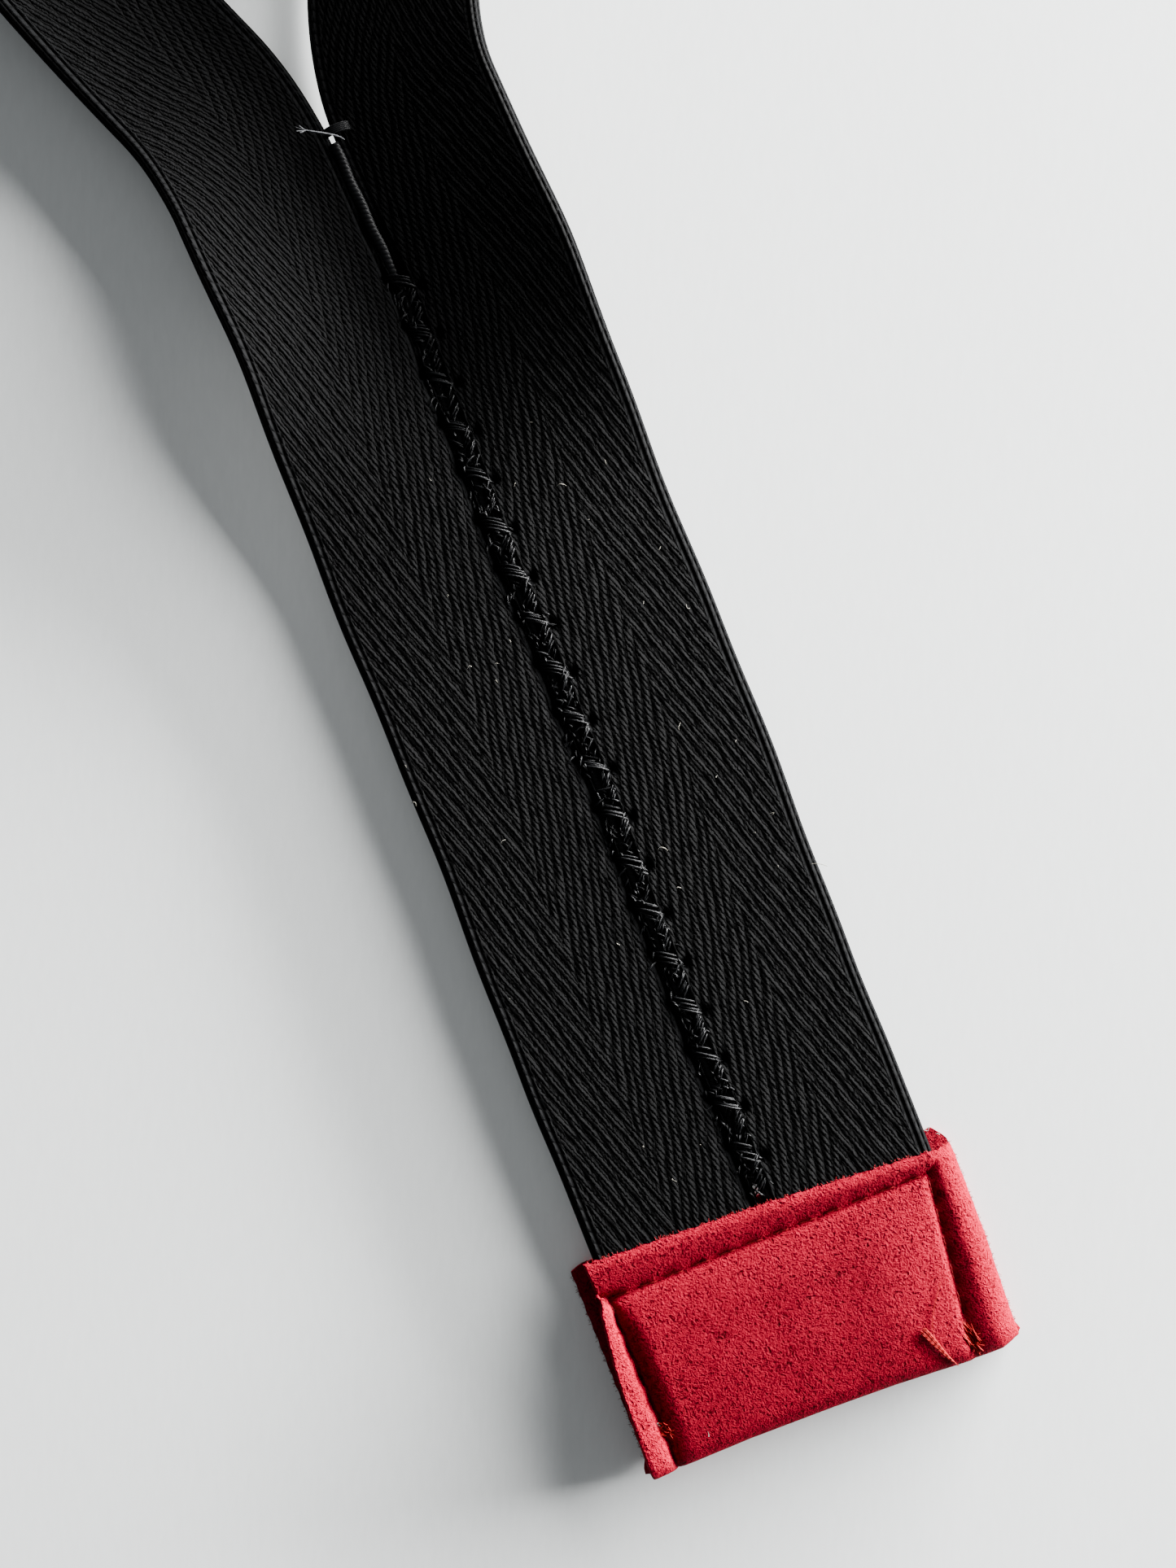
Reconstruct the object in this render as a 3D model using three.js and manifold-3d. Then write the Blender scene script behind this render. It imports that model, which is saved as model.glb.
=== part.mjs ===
// Neck strap: one black herringbone tape. Its two ends lie edge to edge, are joined by a zigzag
// seam and run into a padded red suede tab. The rest of the tape is a neck loop on its edge.
// Millimetres, +Z up, +Y towards the neck loop. The origin is the middle of the tab's back face,
// which is the face that it rests on.

import * as THREE from "three";
import { mergeVertices } from "three/addons/utils/BufferGeometryUtils.js";
import Module from "manifold-3d";

const wasm = await Module();
wasm.setup();

// ---- driving dimensions ----
const clearance = 0.3; // between pieces that touch on the real strap

const tapeWidth = 24.85; // one tape; two of them and the clearance make the 50 mm band
const tapeThickness = 2.4;
const selvedgeRadius = 0.7; // softened corners of the woven edge

const tabFoldReach = 14.2; // from the tab's mouth to the fold line between the tab and the band
const bandLength = 108; // between the two fold lines
const yokeLength = 37; // from the fold line to where the left leg starts to turn away
const turnLag = 3; // the right leg starts to turn this much later
const turnRadius = 42; // of the inner edge
const turnAngle = 22; // degrees that each leg turns
const loopLength = 285; // from the left leg's turn to the inside of the far end
const loopFlare = 195; // length of each leg's handle, which sets how far the loop swells
const loopCrown = 88; // handle at the far end, which sets how round it is
const rollLength = 148; // length over which the tape rolls from flat on to its edge
const loopSteps = 118;

const seamMargin = 1; // the zigzag seam stops this far short of the turn
const seamPitch = 3.65; // one zig and one zag
const seamReach = 1.75; // each side of the joint
const bobbinReach = 1.2;
const seamThreadRadius = 0.35;

const suede = 0.9; // thickness of the cover
const tabTop = { left: 17.1, right: 12.6 }; // upper cut edge of the front panel
const backLip = { left: 0.7, right: 4.2 }; // how far the back panel shows past that edge
const tabBottom = { left: -14.6, right: -15.1 }; // folded edge
const overhang = { topLeft: 1.4, bottomLeft: 3.4, topRight: 3.0, bottomRight: 1.9 }; // past the tape
const foldRounding = 3.2; // how far from the fold the cover starts to round over
const tapeInsert = 28.2; // how far the tape reaches in past the back panel's lower corner
const tapeDrape = 1.2; // width of the slope where the cover steps down from the tape

const stitchMargin = { top: 1.1, bottom: 2.2 }; // U-shaped topstitch to the cut edge and the fold
const stitchInset = { topLeft: 0.9, bottomLeft: 0.2, topRight: 1.9, bottomRight: 5.2 };
const stitchCorner = 1.6; // radius where the U turns
const stitchLength = 4;
const stitchGroove = 0.8; // half-width of the furrow that the stitches pull down
const topThreadRadius = 0.3;
const stitchDip = 0.12; // how much the thread sinks at each stitch hole
const bobbinThreadRadius = 0.15;
const bobbinGroove = { half: 0.4, depth: 0.6 }; // cut into the back panel
const bobbinThreadZ = 0.25;

const padCrest = 6.6; // height of the padded face above the rest plane
const padRise = 6; // distance from the top line over which the pad rises
const padInset = 2.2; // the pad stops this far inside the topstitch
const padEdge = 0.4; // thinnest edge of the pad

const tackRadius = 0.5;
const tackLength = 3.2;
const tackMargin = 2.2; // past the end of the seam
const tailRadius = 0.2;
const backtackLength = 1.6;
const backtackY = { left: -7.9, right: -10.8 };
const backtackOffset = 1.2; // beside the topstitch

const threadSides = 6;

// ---- sizes that follow ----
const pairHalf = tapeWidth + clearance / 2; // outer edge of each tape from the centre line
const tapeUnder = suede + clearance; // underside of the flat tape
const tapeTop = tapeUnder + tapeThickness;
const tabBackTop = { left: tabTop.left + backLip.left, right: tabTop.right + backLip.right };
const tapeEndY = tabBackTop.right - tapeInsert;
const tabFoldY = tabBackTop.left + tabFoldReach;
const yokeFoldY = tabFoldY + bandLength;
const leftTurnY = yokeFoldY + yokeLength;
const rightTurnY = leftTurnY + turnLag;
const loopTopY = leftTurnY + loopLength;
const seamEndY = leftTurnY - seamMargin;
const tackY = seamEndY + tackMargin;
const stitchTopY = tabTop.right - stitchMargin.top;
const stitchEndY = tabBottom.left + stitchMargin.bottom;
const flangeTop = 2 * suede; // two layers of suede, pressed together
const tapeStep = tapeTop + clearance + suede - flangeTop;
const seamStartY = tabBackTop.left + clearance + seamThreadRadius;

const suedeRed = new THREE.MeshStandardMaterial({ color: 0xb51a30, roughness: 0.9, metalness: 0 });
const tapeBlack = new THREE.MeshStandardMaterial({ color: 0x17181a, roughness: 0.85, metalness: 0 });
const threadBlack = new THREE.MeshStandardMaterial({ color: 0x0d0d0e, roughness: 0.6, metalness: 0 });
const threadGrey = new THREE.MeshStandardMaterial({ color: 0x8d8c86, roughness: 0.7, metalness: 0 });
const threadRed = new THREE.MeshStandardMaterial({ color: 0x9c1429, roughness: 0.7, metalness: 0 });
const padGrey = new THREE.MeshStandardMaterial({ color: 0xb9b4aa, roughness: 1, metalness: 0 });

const group = new THREE.Group();

function addPiece(name, geometry, material) {
  const mesh = new THREE.Mesh(geometry, material);
  mesh.name = name;
  group.add(mesh);
}

// ---- small helpers ----
function smooth(value, low, high) {
  return THREE.MathUtils.smoothstep(value, low, high);
}

function blend(low, high, share) {
  return THREE.MathUtils.lerp(low, high, share);
}

function regularSection(radius, sides) {
  const section = new THREE.Shape();
  for (let corner = 0; corner < sides; corner += 1) {
    const angle = (corner / sides) * 2 * Math.PI;
    const x = radius * Math.cos(angle);
    const y = radius * Math.sin(angle);
    if (corner === 0) {
      section.moveTo(x, y);
    } else {
      section.lineTo(x, y);
    }
  }
  section.closePath();
  return section;
}

function threadAlong(points, radius, steps = points.length - 1) {
  const extrudePath = new THREE.CatmullRomCurve3(points);
  const section = regularSection(radius, threadSides);
  return new THREE.ExtrudeGeometry(section, { steps, extrudePath, curveSegments: 1 });
}

function toSolid(geometry) {
  const bare = geometry.index ? geometry.toNonIndexed() : geometry.clone();
  bare.deleteAttribute("normal");
  bare.deleteAttribute("uv");
  const merged = mergeVertices(bare, 1e-5);
  const vertProperties = new Float32Array(merged.attributes.position.array);
  const triVerts = new Uint32Array(merged.index.array);
  return new wasm.Manifold(new wasm.Mesh({ numProp: 3, vertProperties, triVerts }));
}

function toGeometry(solid) {
  const mesh = solid.getMesh();
  const geometry = new THREE.BufferGeometry();
  geometry.setAttribute("position", new THREE.BufferAttribute(mesh.vertProperties, 3));
  geometry.setIndex(new THREE.BufferAttribute(mesh.triVerts, 1));
  geometry.computeVertexNormals();
  return geometry;
}

// ---- tape ----
// The section's x runs through the thickness, from the underside to the face, and its y runs
// across the width, from the inner edge to the outer edge.
function tapeSection() {
  const r = selvedgeRadius;
  const section = new THREE.Shape();
  section.moveTo(-tapeThickness + r, 0);
  section.lineTo(-r, 0);
  section.lineTo(0, r);
  section.lineTo(0, tapeWidth - r);
  section.lineTo(-r, tapeWidth);
  section.lineTo(-tapeThickness + r, tapeWidth);
  section.lineTo(-tapeThickness, tapeWidth - r);
  section.lineTo(-tapeThickness, r);
  section.closePath();
  return section;
}

function rollAt(distance) {
  return (Math.PI / 2) * smooth(distance, 0, rollLength);
}

// Height of the face's inner corner, where the tape's lowest corner settles from the flat band's
// height down to the rest plane.
function innerCornerZ(distance) {
  const underside = tapeUnder * (1 - smooth(distance, 0, rollLength));
  return underside + tapeThickness * Math.cos(rollAt(distance));
}

function legTurn(side, turnY) {
  const angle = THREE.MathUtils.degToRad(turnAngle);
  const startX = side * (clearance / 2);
  return {
    start: new THREE.Vector2(startX, yokeFoldY + clearance / 2),
    turn: new THREE.Vector2(startX, turnY),
    corner: new THREE.Vector2(startX, turnY + turnRadius * Math.tan(angle / 2)),
    end: new THREE.Vector2(
      startX + side * turnRadius * (1 - Math.cos(angle)),
      turnY + turnRadius * Math.sin(angle),
    ),
    heading: new THREE.Vector2(side * Math.sin(angle), Math.cos(angle)),
  };
}

function loopPlan() {
  const right = legTurn(1, rightTurnY);
  const left = legTurn(-1, leftTurnY);
  const top = new THREE.Vector2(0, loopTopY);
  const rightHandle = right.end.clone().addScaledVector(right.heading, loopFlare);
  const leftHandle = left.end.clone().addScaledVector(left.heading, loopFlare);
  const rightCrown = new THREE.Vector2(loopCrown, loopTopY);
  const leftCrown = new THREE.Vector2(-loopCrown, loopTopY);
  const plan = new THREE.CurvePath();
  plan.add(new THREE.LineCurve(right.start, right.turn));
  plan.add(new THREE.QuadraticBezierCurve(right.turn, right.corner, right.end));
  plan.add(new THREE.CubicBezierCurve(right.end, rightHandle, rightCrown, top));
  plan.add(new THREE.CubicBezierCurve(top, leftCrown, leftHandle, left.end));
  plan.add(new THREE.QuadraticBezierCurve(left.end, left.corner, left.turn));
  plan.add(new THREE.LineCurve(left.turn, left.start));
  return plan;
}

// The face's inner corner, all the way round the neck loop. The frames turn the section from
// flat at both ends to upright in between.
class NeckLoopPath extends THREE.Curve {
  constructor(plan) {
    super();
    this.plan = plan;
    this.planLength = plan.getLength();
  }

  distanceAt(share) {
    return Math.min(share, 1 - share) * this.planLength;
  }

  getPoint(share) {
    const place = this.plan.getPointAt(share);
    return new THREE.Vector3(place.x, place.y, innerCornerZ(this.distanceAt(share)));
  }

  getPointAt(share) {
    return this.getPoint(share);
  }

  computeFrenetFrames(segments) {
    const frames = { tangents: [], normals: [], binormals: [] };
    for (let step = 0; step <= segments; step += 1) {
      const share = step / segments;
      const heading = this.plan.getTangentAt(share);
      const roll = rollAt(this.distanceAt(share));
      const outward = new THREE.Vector3(heading.y, -heading.x, 0);
      const up = new THREE.Vector3(0, 0, 1);
      const across = outward.clone().multiplyScalar(Math.cos(roll)).addScaledVector(up, Math.sin(roll));
      const face = up.clone().multiplyScalar(Math.cos(roll)).addScaledVector(outward, -Math.sin(roll));
      frames.tangents.push(new THREE.Vector3(heading.x, heading.y, 0));
      frames.normals.push(face);
      frames.binormals.push(across);
    }
    return frames;
  }
}

// A flat stretch: the extruded section is laid along Y and set beside the centre line.
function tapeRun(side, startY, endY) {
  const length = endY - startY;
  const geometry = new THREE.ExtrudeGeometry(tapeSection(), { depth: length, bevelEnabled: false });
  const position = geometry.attributes.position;
  for (let index = 0; index < position.count; index += 1) {
    const through = position.getX(index);
    const across = position.getY(index);
    const along = position.getZ(index);
    const y = side > 0 ? startY + along : endY - along;
    position.setXYZ(index, side * (clearance / 2 + across), y, tapeTop + through);
  }
  return geometry;
}

const sideNames = { left: -1, right: 1 };
for (const [sideName, side] of Object.entries(sideNames)) {
  const tabEnd = tapeRun(side, tapeEndY, tabFoldY - clearance / 2);
  const run = tapeRun(side, tabFoldY + clearance / 2, yokeFoldY - clearance / 2);
  addPiece(`tape_${sideName}_tab_end`, tabEnd, tapeBlack);
  addPiece(`tape_${sideName}_run`, run, tapeBlack);
}
const neckLoopPath = new NeckLoopPath(loopPlan());
const neckLoop = new THREE.ExtrudeGeometry(tapeSection(), { steps: loopSteps, extrudePath: neckLoopPath });
addPiece("tape_neck_loop", neckLoop, tapeBlack);

// ---- zigzag seam and crotch ----
function tapeFaceZ(x, y) {
  const distance = Math.max(y - yokeFoldY, 0);
  return innerCornerZ(distance) + Math.abs(x) * Math.tan(rollAt(distance));
}

function tapeUndersideZ(y) {
  const distance = Math.max(y - yokeFoldY, 0);
  return tapeUnder * (1 - smooth(distance, 0, rollLength));
}

function zigzag(startY, endY, reach, heightAt) {
  const steps = Math.round((4 * (endY - startY)) / seamPitch);
  const points = [];
  for (let step = 0; step <= steps; step += 1) {
    const y = blend(startY, endY, step / steps);
    const x = reach * Math.sin(((y - seamStartY) / seamPitch) * 2 * Math.PI);
    points.push(new THREE.Vector3(x, y, heightAt(x, y)));
  }
  return threadAlong(points, seamThreadRadius);
}

function needleSeamZ(x, y) {
  return tapeFaceZ(x, y) + clearance + seamThreadRadius;
}

function bobbinSeamZ(x, y) {
  return tapeUndersideZ(y) - clearance - seamThreadRadius;
}

// The thread meets each fold line at a slant, so its ends stop one radius short of the gap.
const seamEndGap = clearance / 2 + seamThreadRadius;
const seamStretches = {
  tab: [seamStartY, tabFoldY - seamEndGap],
  run: [tabFoldY + seamEndGap, yokeFoldY - seamEndGap],
  yoke: [yokeFoldY + seamEndGap, seamEndY],
};
for (const [stretch, [startY, endY]] of Object.entries(seamStretches)) {
  const needle = zigzag(startY, endY, seamReach, needleSeamZ);
  const bobbin = zigzag(startY, endY, bobbinReach, bobbinSeamZ);
  addPiece(`seam_needle_thread_${stretch}`, needle, threadBlack);
  addPiece(`seam_bobbin_thread_${stretch}`, bobbin, threadBlack);
}

const barTack = new THREE.CapsuleGeometry(tackRadius, tackLength, 4, 8);
barTack.rotateZ(Math.PI / 2);
const tackZ = tapeFaceZ(tackLength / 2 + tackRadius, tackY) + clearance + tackRadius;
barTack.translate(0, tackY, tackZ);
addPiece("crotch_bar_tack", barTack, threadBlack);

const tailStart = -(tackLength / 2 + tackRadius + clearance + tailRadius);
const crotchTail = [
  [tailStart, tackY + 0.2],
  [tailStart - 0.8, tackY + 0.9],
  [tailStart - 1.7, tackY + 1.1],
  [tailStart - 2.6, tackY + 1.9],
].map(([x, y]) => new THREE.Vector3(x, y, tapeFaceZ(x, y) + clearance + tailRadius));
addPiece("crotch_thread_tail", threadAlong(crotchTail, tailRadius, 8), threadGrey);

// ---- tab: heights of the cover's face ----
function stitchX(side, y) {
  const share = (y - stitchEndY) / (stitchTopY - stitchEndY);
  const bottom = side < 0 ? stitchInset.bottomLeft : stitchInset.bottomRight;
  const top = side < 0 ? stitchInset.topLeft : stitchInset.topRight;
  return side * (pairHalf - blend(bottom, top, share));
}

function edgeX(side, y) {
  const bottomY = side < 0 ? tabBottom.left : tabBottom.right;
  const topY = side < 0 ? tabTop.left : tabTop.right;
  const bottom = side < 0 ? overhang.bottomLeft : overhang.bottomRight;
  const top = side < 0 ? overhang.topLeft : overhang.topRight;
  return side * (pairHalf + blend(bottom, top, (y - bottomY) / (topY - bottomY)));
}

function bottomY(x) {
  return blend(tabBottom.left, tabBottom.right, x / (2 * pairHalf) + 0.5);
}

// Share of the full crest: nothing along the stitched furrow, steep beside it, full in the middle.
function padShare(x, y) {
  const left = stitchX(-1, y) + stitchGroove;
  const right = stitchX(1, y) - stitchGroove;
  const across = THREE.MathUtils.clamp((2 * x - left - right) / (right - left), -1, 1);
  const down = THREE.MathUtils.clamp((stitchTopY - stitchGroove - y) / padRise, 0, 1);
  return Math.sqrt(1 - across ** 4) * Math.sqrt(1 - (1 - down) ** 2);
}

function flangeZ(x) {
  const tapeEdge = pairHalf + clearance;
  const overTape = 1 - smooth(Math.abs(x), tapeEdge, tapeEdge + tapeDrape);
  return flangeTop + tapeStep * overTape;
}

// The cover turns round at the fold, so both faces meet there at half the height.
function foldShare(x, y) {
  const inward = THREE.MathUtils.clamp((y - bottomY(x)) / foldRounding, 0.004, 1);
  return Math.sqrt(1 - (1 - inward) ** 2);
}

function fullHeight(x, y) {
  const flange = flangeZ(x);
  return flange + (padCrest - flange) * padShare(x, y);
}

function coverFaceZ(x, y) {
  return (fullHeight(x, y) / 2) * (1 + foldShare(x, y));
}

function coverBackZ(x, y) {
  return (fullHeight(x, y) / 2) * (1 - foldShare(x, y));
}

// A plate whose columns and rows follow two functions and whose faces follow two heights.
function formedPlate(columns, rows, placeAt, topAt, underAt) {
  const geometry = new THREE.BoxGeometry(columns, rows, 1, columns, rows, 1);
  const position = geometry.attributes.position;
  for (let index = 0; index < position.count; index += 1) {
    const column = Math.round(position.getX(index) + columns / 2);
    const row = Math.round(position.getY(index) + rows / 2);
    const [x, y] = placeAt(column, row);
    const z = position.getZ(index) > 0 ? topAt(x, y) : underAt(x, y);
    position.setXYZ(index, x, y, z);
  }
  return geometry;
}

// ---- tab: cover ----
const coverColumns = 22;
const sideColumns = 4; // edge, middle of the flange, tape edge, outer side of the furrow
const foldDepths = [0, 0.12, 0.35, 0.65, 1]; // shares of the rounding
const faceShares = [0.2, 0.4, 0.58, 0.7, 0.8, 0.88, 0.95, 1]; // from the rounding to the topstitch

function coverRowY(row, share) {
  const low = blend(tabBottom.left, tabBottom.right, share);
  const high = blend(tabBackTop.left, tabBackTop.right, share);
  const furrowLow = stitchTopY - stitchGroove;
  const furrowHigh = stitchTopY + stitchGroove;
  const folded = foldDepths.map((depth) => low + foldRounding * depth);
  const face = faceShares.map((part) => blend(low + foldRounding, furrowLow, part));
  const stations = [...folded, ...face, furrowHigh, Math.max(high, furrowHigh + 0.2)];
  return row === undefined ? stations.length - 1 : stations[row];
}

function coverColumnX(column, y) {
  const half = coverColumns / 2;
  const side = column < half ? -1 : 1;
  const fromEdge = column < half ? column : coverColumns - column;
  const line = Math.abs(stitchX(side, y));
  const tapeEdge = Math.max(pairHalf + clearance + 0.1, line + stitchGroove + 0.1);
  const edge = Math.abs(edgeX(side, y));
  const outer = [edge, blend(edge, tapeEdge, 0.5), tapeEdge, line + stitchGroove, line - stitchGroove];
  if (fromEdge <= sideColumns) {
    return side * outer[fromEdge];
  }
  const left = stitchX(-1, y) + stitchGroove;
  const right = stitchX(1, y) - stitchGroove;
  const share = (column - sideColumns) / (coverColumns - 2 * sideColumns);
  return blend(left, right, (1 - Math.cos(share * Math.PI)) / 2);
}

function coverPlace(column, row) {
  const y = coverRowY(row, column / coverColumns);
  return [coverColumnX(column, y), y];
}

const coverRows = coverRowY(undefined, 0);
const coverForm = formedPlate(coverColumns, coverRows, coverPlace, coverFaceZ, coverBackZ);

function between(from, to, share) {
  return [blend(from[0], to[0], share), blend(from[1], to[1], share)];
}

function bilinear(corners, columns, rows) {
  return (column, row) => {
    const low = between(corners.bottomLeft, corners.bottomRight, column / columns);
    const high = between(corners.topLeft, corners.topRight, column / columns);
    return between(low, high, row / rows);
  };
}

// Above the front panel's slanting cut edge only the back panel is left.
const cutReach = pairHalf + 2 * overhang.bottomLeft;
const cutSlope = (tabTop.right - tabTop.left) / (2 * pairHalf + overhang.topLeft + overhang.topRight);
const cutY = (x) => tabTop.left + cutSlope * (x + pairHalf + overhang.topLeft);
const aboveFront = {
  bottomLeft: [-cutReach, cutY(-cutReach)],
  bottomRight: [cutReach, cutY(cutReach)],
  topLeft: [-cutReach, 2 * tabBackTop.left],
  topRight: [cutReach, 2 * tabBackTop.left],
};
const frontTrim = formedPlate(1, 1, bilinear(aboveFront, 1, 1), () => 2 * padCrest, () => suede);

// ---- tab: pad and the pocket that holds it ----
const padColumns = 16;
const padRows = 14;

function padForm(grow) {
  const highY = stitchTopY - padInset + grow;
  const lowY = Math.max(tabBottom.left, tabBottom.right) + padInset - grow;
  const corners = {
    bottomLeft: [stitchX(-1, lowY) + padInset - grow, lowY],
    bottomRight: [stitchX(1, lowY) - padInset + grow, lowY],
    topLeft: [stitchX(-1, highY) + padInset - grow, highY],
    topRight: [stitchX(1, highY) - padInset + grow, highY],
  };
  const place = bilinear(corners, padColumns, padRows);
  const underZ = tapeTop + clearance;
  const underAt = () => underZ - grow;
  const topAt = (x, y) => {
    const underCover = coverFaceZ(x, y) - suede - clearance;
    return Math.max(underCover, underZ + padEdge) + grow;
  };
  return formedPlate(padColumns, padRows, place, topAt, underAt);
}

// ---- tab: U-shaped topstitch ----
function stitchOutline() {
  const lowLeft = new THREE.Vector2(stitchX(-1, stitchEndY), stitchEndY);
  const highLeft = new THREE.Vector2(stitchX(-1, stitchTopY), stitchTopY);
  const highRight = new THREE.Vector2(stitchX(1, stitchTopY), stitchTopY);
  const lowRight = new THREE.Vector2(stitchX(1, stitchEndY), stitchEndY);
  const toward = (from, to) => from.clone().add(to.clone().sub(from).setLength(stitchCorner));
  const leftIn = toward(highLeft, lowLeft);
  const leftOut = toward(highLeft, highRight);
  const rightIn = toward(highRight, highLeft);
  const rightOut = toward(highRight, lowRight);
  const outline = new THREE.CurvePath();
  outline.add(new THREE.LineCurve(lowLeft, leftIn));
  outline.add(new THREE.QuadraticBezierCurve(leftIn, highLeft, leftOut));
  outline.add(new THREE.LineCurve(leftOut, rightIn));
  outline.add(new THREE.QuadraticBezierCurve(rightIn, highRight, rightOut));
  outline.add(new THREE.LineCurve(rightOut, lowRight));
  return outline;
}

const stitchPath = stitchOutline();
const stitchSteps = Math.round((3 * stitchPath.getLength()) / stitchLength);

function alongStitches(heightAt) {
  const spaced = stitchPath.getSpacedPoints(stitchSteps);
  return spaced.map((place, step) => new THREE.Vector3(place.x, place.y, heightAt(place.x, place.y, step)));
}

// The thread clears the highest part of the cover that it touches.
function overCover(x, y, radius) {
  const reach = radius + clearance;
  const around = [[-reach, 0], [reach, 0], [0, -reach], [0, reach]];
  const highest = Math.max(...around.map(([dx, dy]) => coverFaceZ(x + dx, y + dy)));
  return highest + clearance + radius;
}

function needleStitchZ(x, y, step) {
  const dip = step % 3 === 0 ? stitchDip : 0;
  return overCover(x, y, topThreadRadius) - dip;
}

const needleThread = threadAlong(alongStitches(needleStitchZ), topThreadRadius);
const bobbinThread = threadAlong(alongStitches(() => bobbinThreadZ), bobbinThreadRadius);
addPiece("tab_topstitch_needle_thread", needleThread, threadRed);
addPiece("tab_topstitch_bobbin_thread", bobbinThread, threadRed);

const furrowSection = new THREE.Shape();
furrowSection.moveTo(-bobbinGroove.depth, -bobbinGroove.half);
furrowSection.lineTo(bobbinGroove.depth, -bobbinGroove.half);
furrowSection.lineTo(bobbinGroove.depth, bobbinGroove.half);
furrowSection.lineTo(-bobbinGroove.depth, bobbinGroove.half);
furrowSection.closePath();
const furrowEnds = alongStitches(() => 0);
const furrowPath = new THREE.CatmullRomCurve3(furrowEnds);
const furrow = new THREE.ExtrudeGeometry(furrowSection, { steps: stitchSteps, extrudePath: furrowPath });

const slotHalf = pairHalf + clearance;
const slotCorners = {
  bottomLeft: [-slotHalf, tapeEndY - clearance],
  bottomRight: [slotHalf, tapeEndY - clearance],
  topLeft: [-slotHalf, tabBackTop.left + clearance],
  topRight: [slotHalf, tabBackTop.left + clearance],
};
const slotPlace = bilinear(slotCorners, 1, 1);
const mouthSlot = formedPlate(1, 1, slotPlace, () => tapeTop + clearance, () => suede);
const cover = toSolid(coverForm)
  .subtract(toSolid(frontTrim))
  .subtract(toSolid(mouthSlot))
  .subtract(toSolid(padForm(clearance)))
  .subtract(toSolid(furrow));
addPiece("tab_cover", toGeometry(cover), suedeRed);
addPiece("tab_pad", padForm(0), padGrey);

for (const [sideName, side] of Object.entries(sideNames)) {
  const y = backtackY[sideName];
  const x = stitchX(side, y) + side * backtackOffset;
  const backtack = new THREE.CapsuleGeometry(topThreadRadius, backtackLength, 3, 8);
  backtack.translate(x, y, overCover(x, y, topThreadRadius));
  addPiece(`tab_backtack_${sideName}`, backtack, threadRed);
}

const tabTail = [
  [15.2, -8.6],
  [15.6, -10],
  [16.4, -11.6],
  [17, -13],
].map(([x, y]) => new THREE.Vector3(x, y, overCover(x, y, tailRadius)));
addPiece("tab_thread_tail", threadAlong(tabTail, tailRadius, 8), threadRed);

export default group;
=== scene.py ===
import math

import bpy
import numpy as np
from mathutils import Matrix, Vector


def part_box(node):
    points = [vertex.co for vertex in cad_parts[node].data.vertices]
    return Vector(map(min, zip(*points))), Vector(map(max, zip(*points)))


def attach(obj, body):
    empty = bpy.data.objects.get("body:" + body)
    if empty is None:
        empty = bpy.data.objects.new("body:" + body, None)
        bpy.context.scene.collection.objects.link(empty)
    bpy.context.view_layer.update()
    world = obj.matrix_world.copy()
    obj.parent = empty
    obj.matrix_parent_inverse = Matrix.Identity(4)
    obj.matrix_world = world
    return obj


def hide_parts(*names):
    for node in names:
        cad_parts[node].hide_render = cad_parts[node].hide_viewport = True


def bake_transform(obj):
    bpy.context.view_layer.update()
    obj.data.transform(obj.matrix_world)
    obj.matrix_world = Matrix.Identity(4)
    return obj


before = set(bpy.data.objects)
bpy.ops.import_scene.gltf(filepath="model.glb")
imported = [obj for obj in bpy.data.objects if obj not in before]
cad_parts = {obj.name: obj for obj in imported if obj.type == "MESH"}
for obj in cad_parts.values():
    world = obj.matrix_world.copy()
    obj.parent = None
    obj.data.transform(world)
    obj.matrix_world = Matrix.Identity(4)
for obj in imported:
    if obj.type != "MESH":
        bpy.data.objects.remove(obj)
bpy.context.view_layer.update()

mm = 0.001
bpy.ops.object.select_all(action="DESELECT")


view = {
    "over": (-1.0, 79.9, 3.6),  # mm, what lies under the middle of the frame
    "turn": -21.6,  # degrees, so that the band runs down to the right
    "distance": 300,  # mm above the band
    "frameTall": 220.5,  # mm of strap from top to bottom of the frame
    "sensor": 36,
}


def addCamera():
    overX, overY, overZ = view["over"]
    data = bpy.data.cameras.new("camera")
    data.sensor_width = view["sensor"]
    data.lens = view["sensor"] * view["distance"] / view["frameTall"]
    data.clip_start = 0.01
    camera = bpy.data.objects.new("camera", data)
    camera.location = (overX * mm, overY * mm, (overZ + view["distance"]) * mm)
    camera.rotation_euler = (0, 0, math.radians(view["turn"]))
    bpy.context.collection.objects.link(camera)
    bpy.context.scene.camera = camera


addCamera()
print("camera placed")


runLow, runHigh = (np.array(corner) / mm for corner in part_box("tape_right_run"))
coverLow, coverHigh = (np.array(corner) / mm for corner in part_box("tab_cover"))
tabEndLow, tabEndHigh = (np.array(corner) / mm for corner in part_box("tape_right_tab_end"))

strap = {
    "gap": 2 * runLow[0],  # between the two tapes
    "width": runHigh[0] - runLow[0],
    "thickness": runHigh[2] - runLow[2],
    "underside": runLow[2],
    "insideTab": tabEndLow[1],  # where the tape ends
    "tabFold": (runLow[1] + tabEndHigh[1]) / 2,
    "yokeFold": runHigh[1] + runLow[0],
    "leftTurn": 34,  # past the yoke fold
    "rightTurn": 36.5,
    "turnRadius": 60,
    "turnAngle": 22,
    "leftExtraTurn": 0.5,  # degrees
    "farEnd": 322,  # past the yoke fold, to the inside of the far end
    "flare": 195,
    "crown": 88,
    "firstRoll": (0.11, 0.15),  # share of the upright turn reached by the crotch, left and right
    "firstRollReach": 24,  # it starts this far before the yoke fold and ends this far past it
    "restOfRoll": (58, 205),  # past the yoke fold
    "settle": (5, 46),  # past the yoke fold, where the tape comes down to the floor
    "floorGap": 0.1,
    "shift": 1.2,  # the crotch lies this far to the left
}

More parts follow.
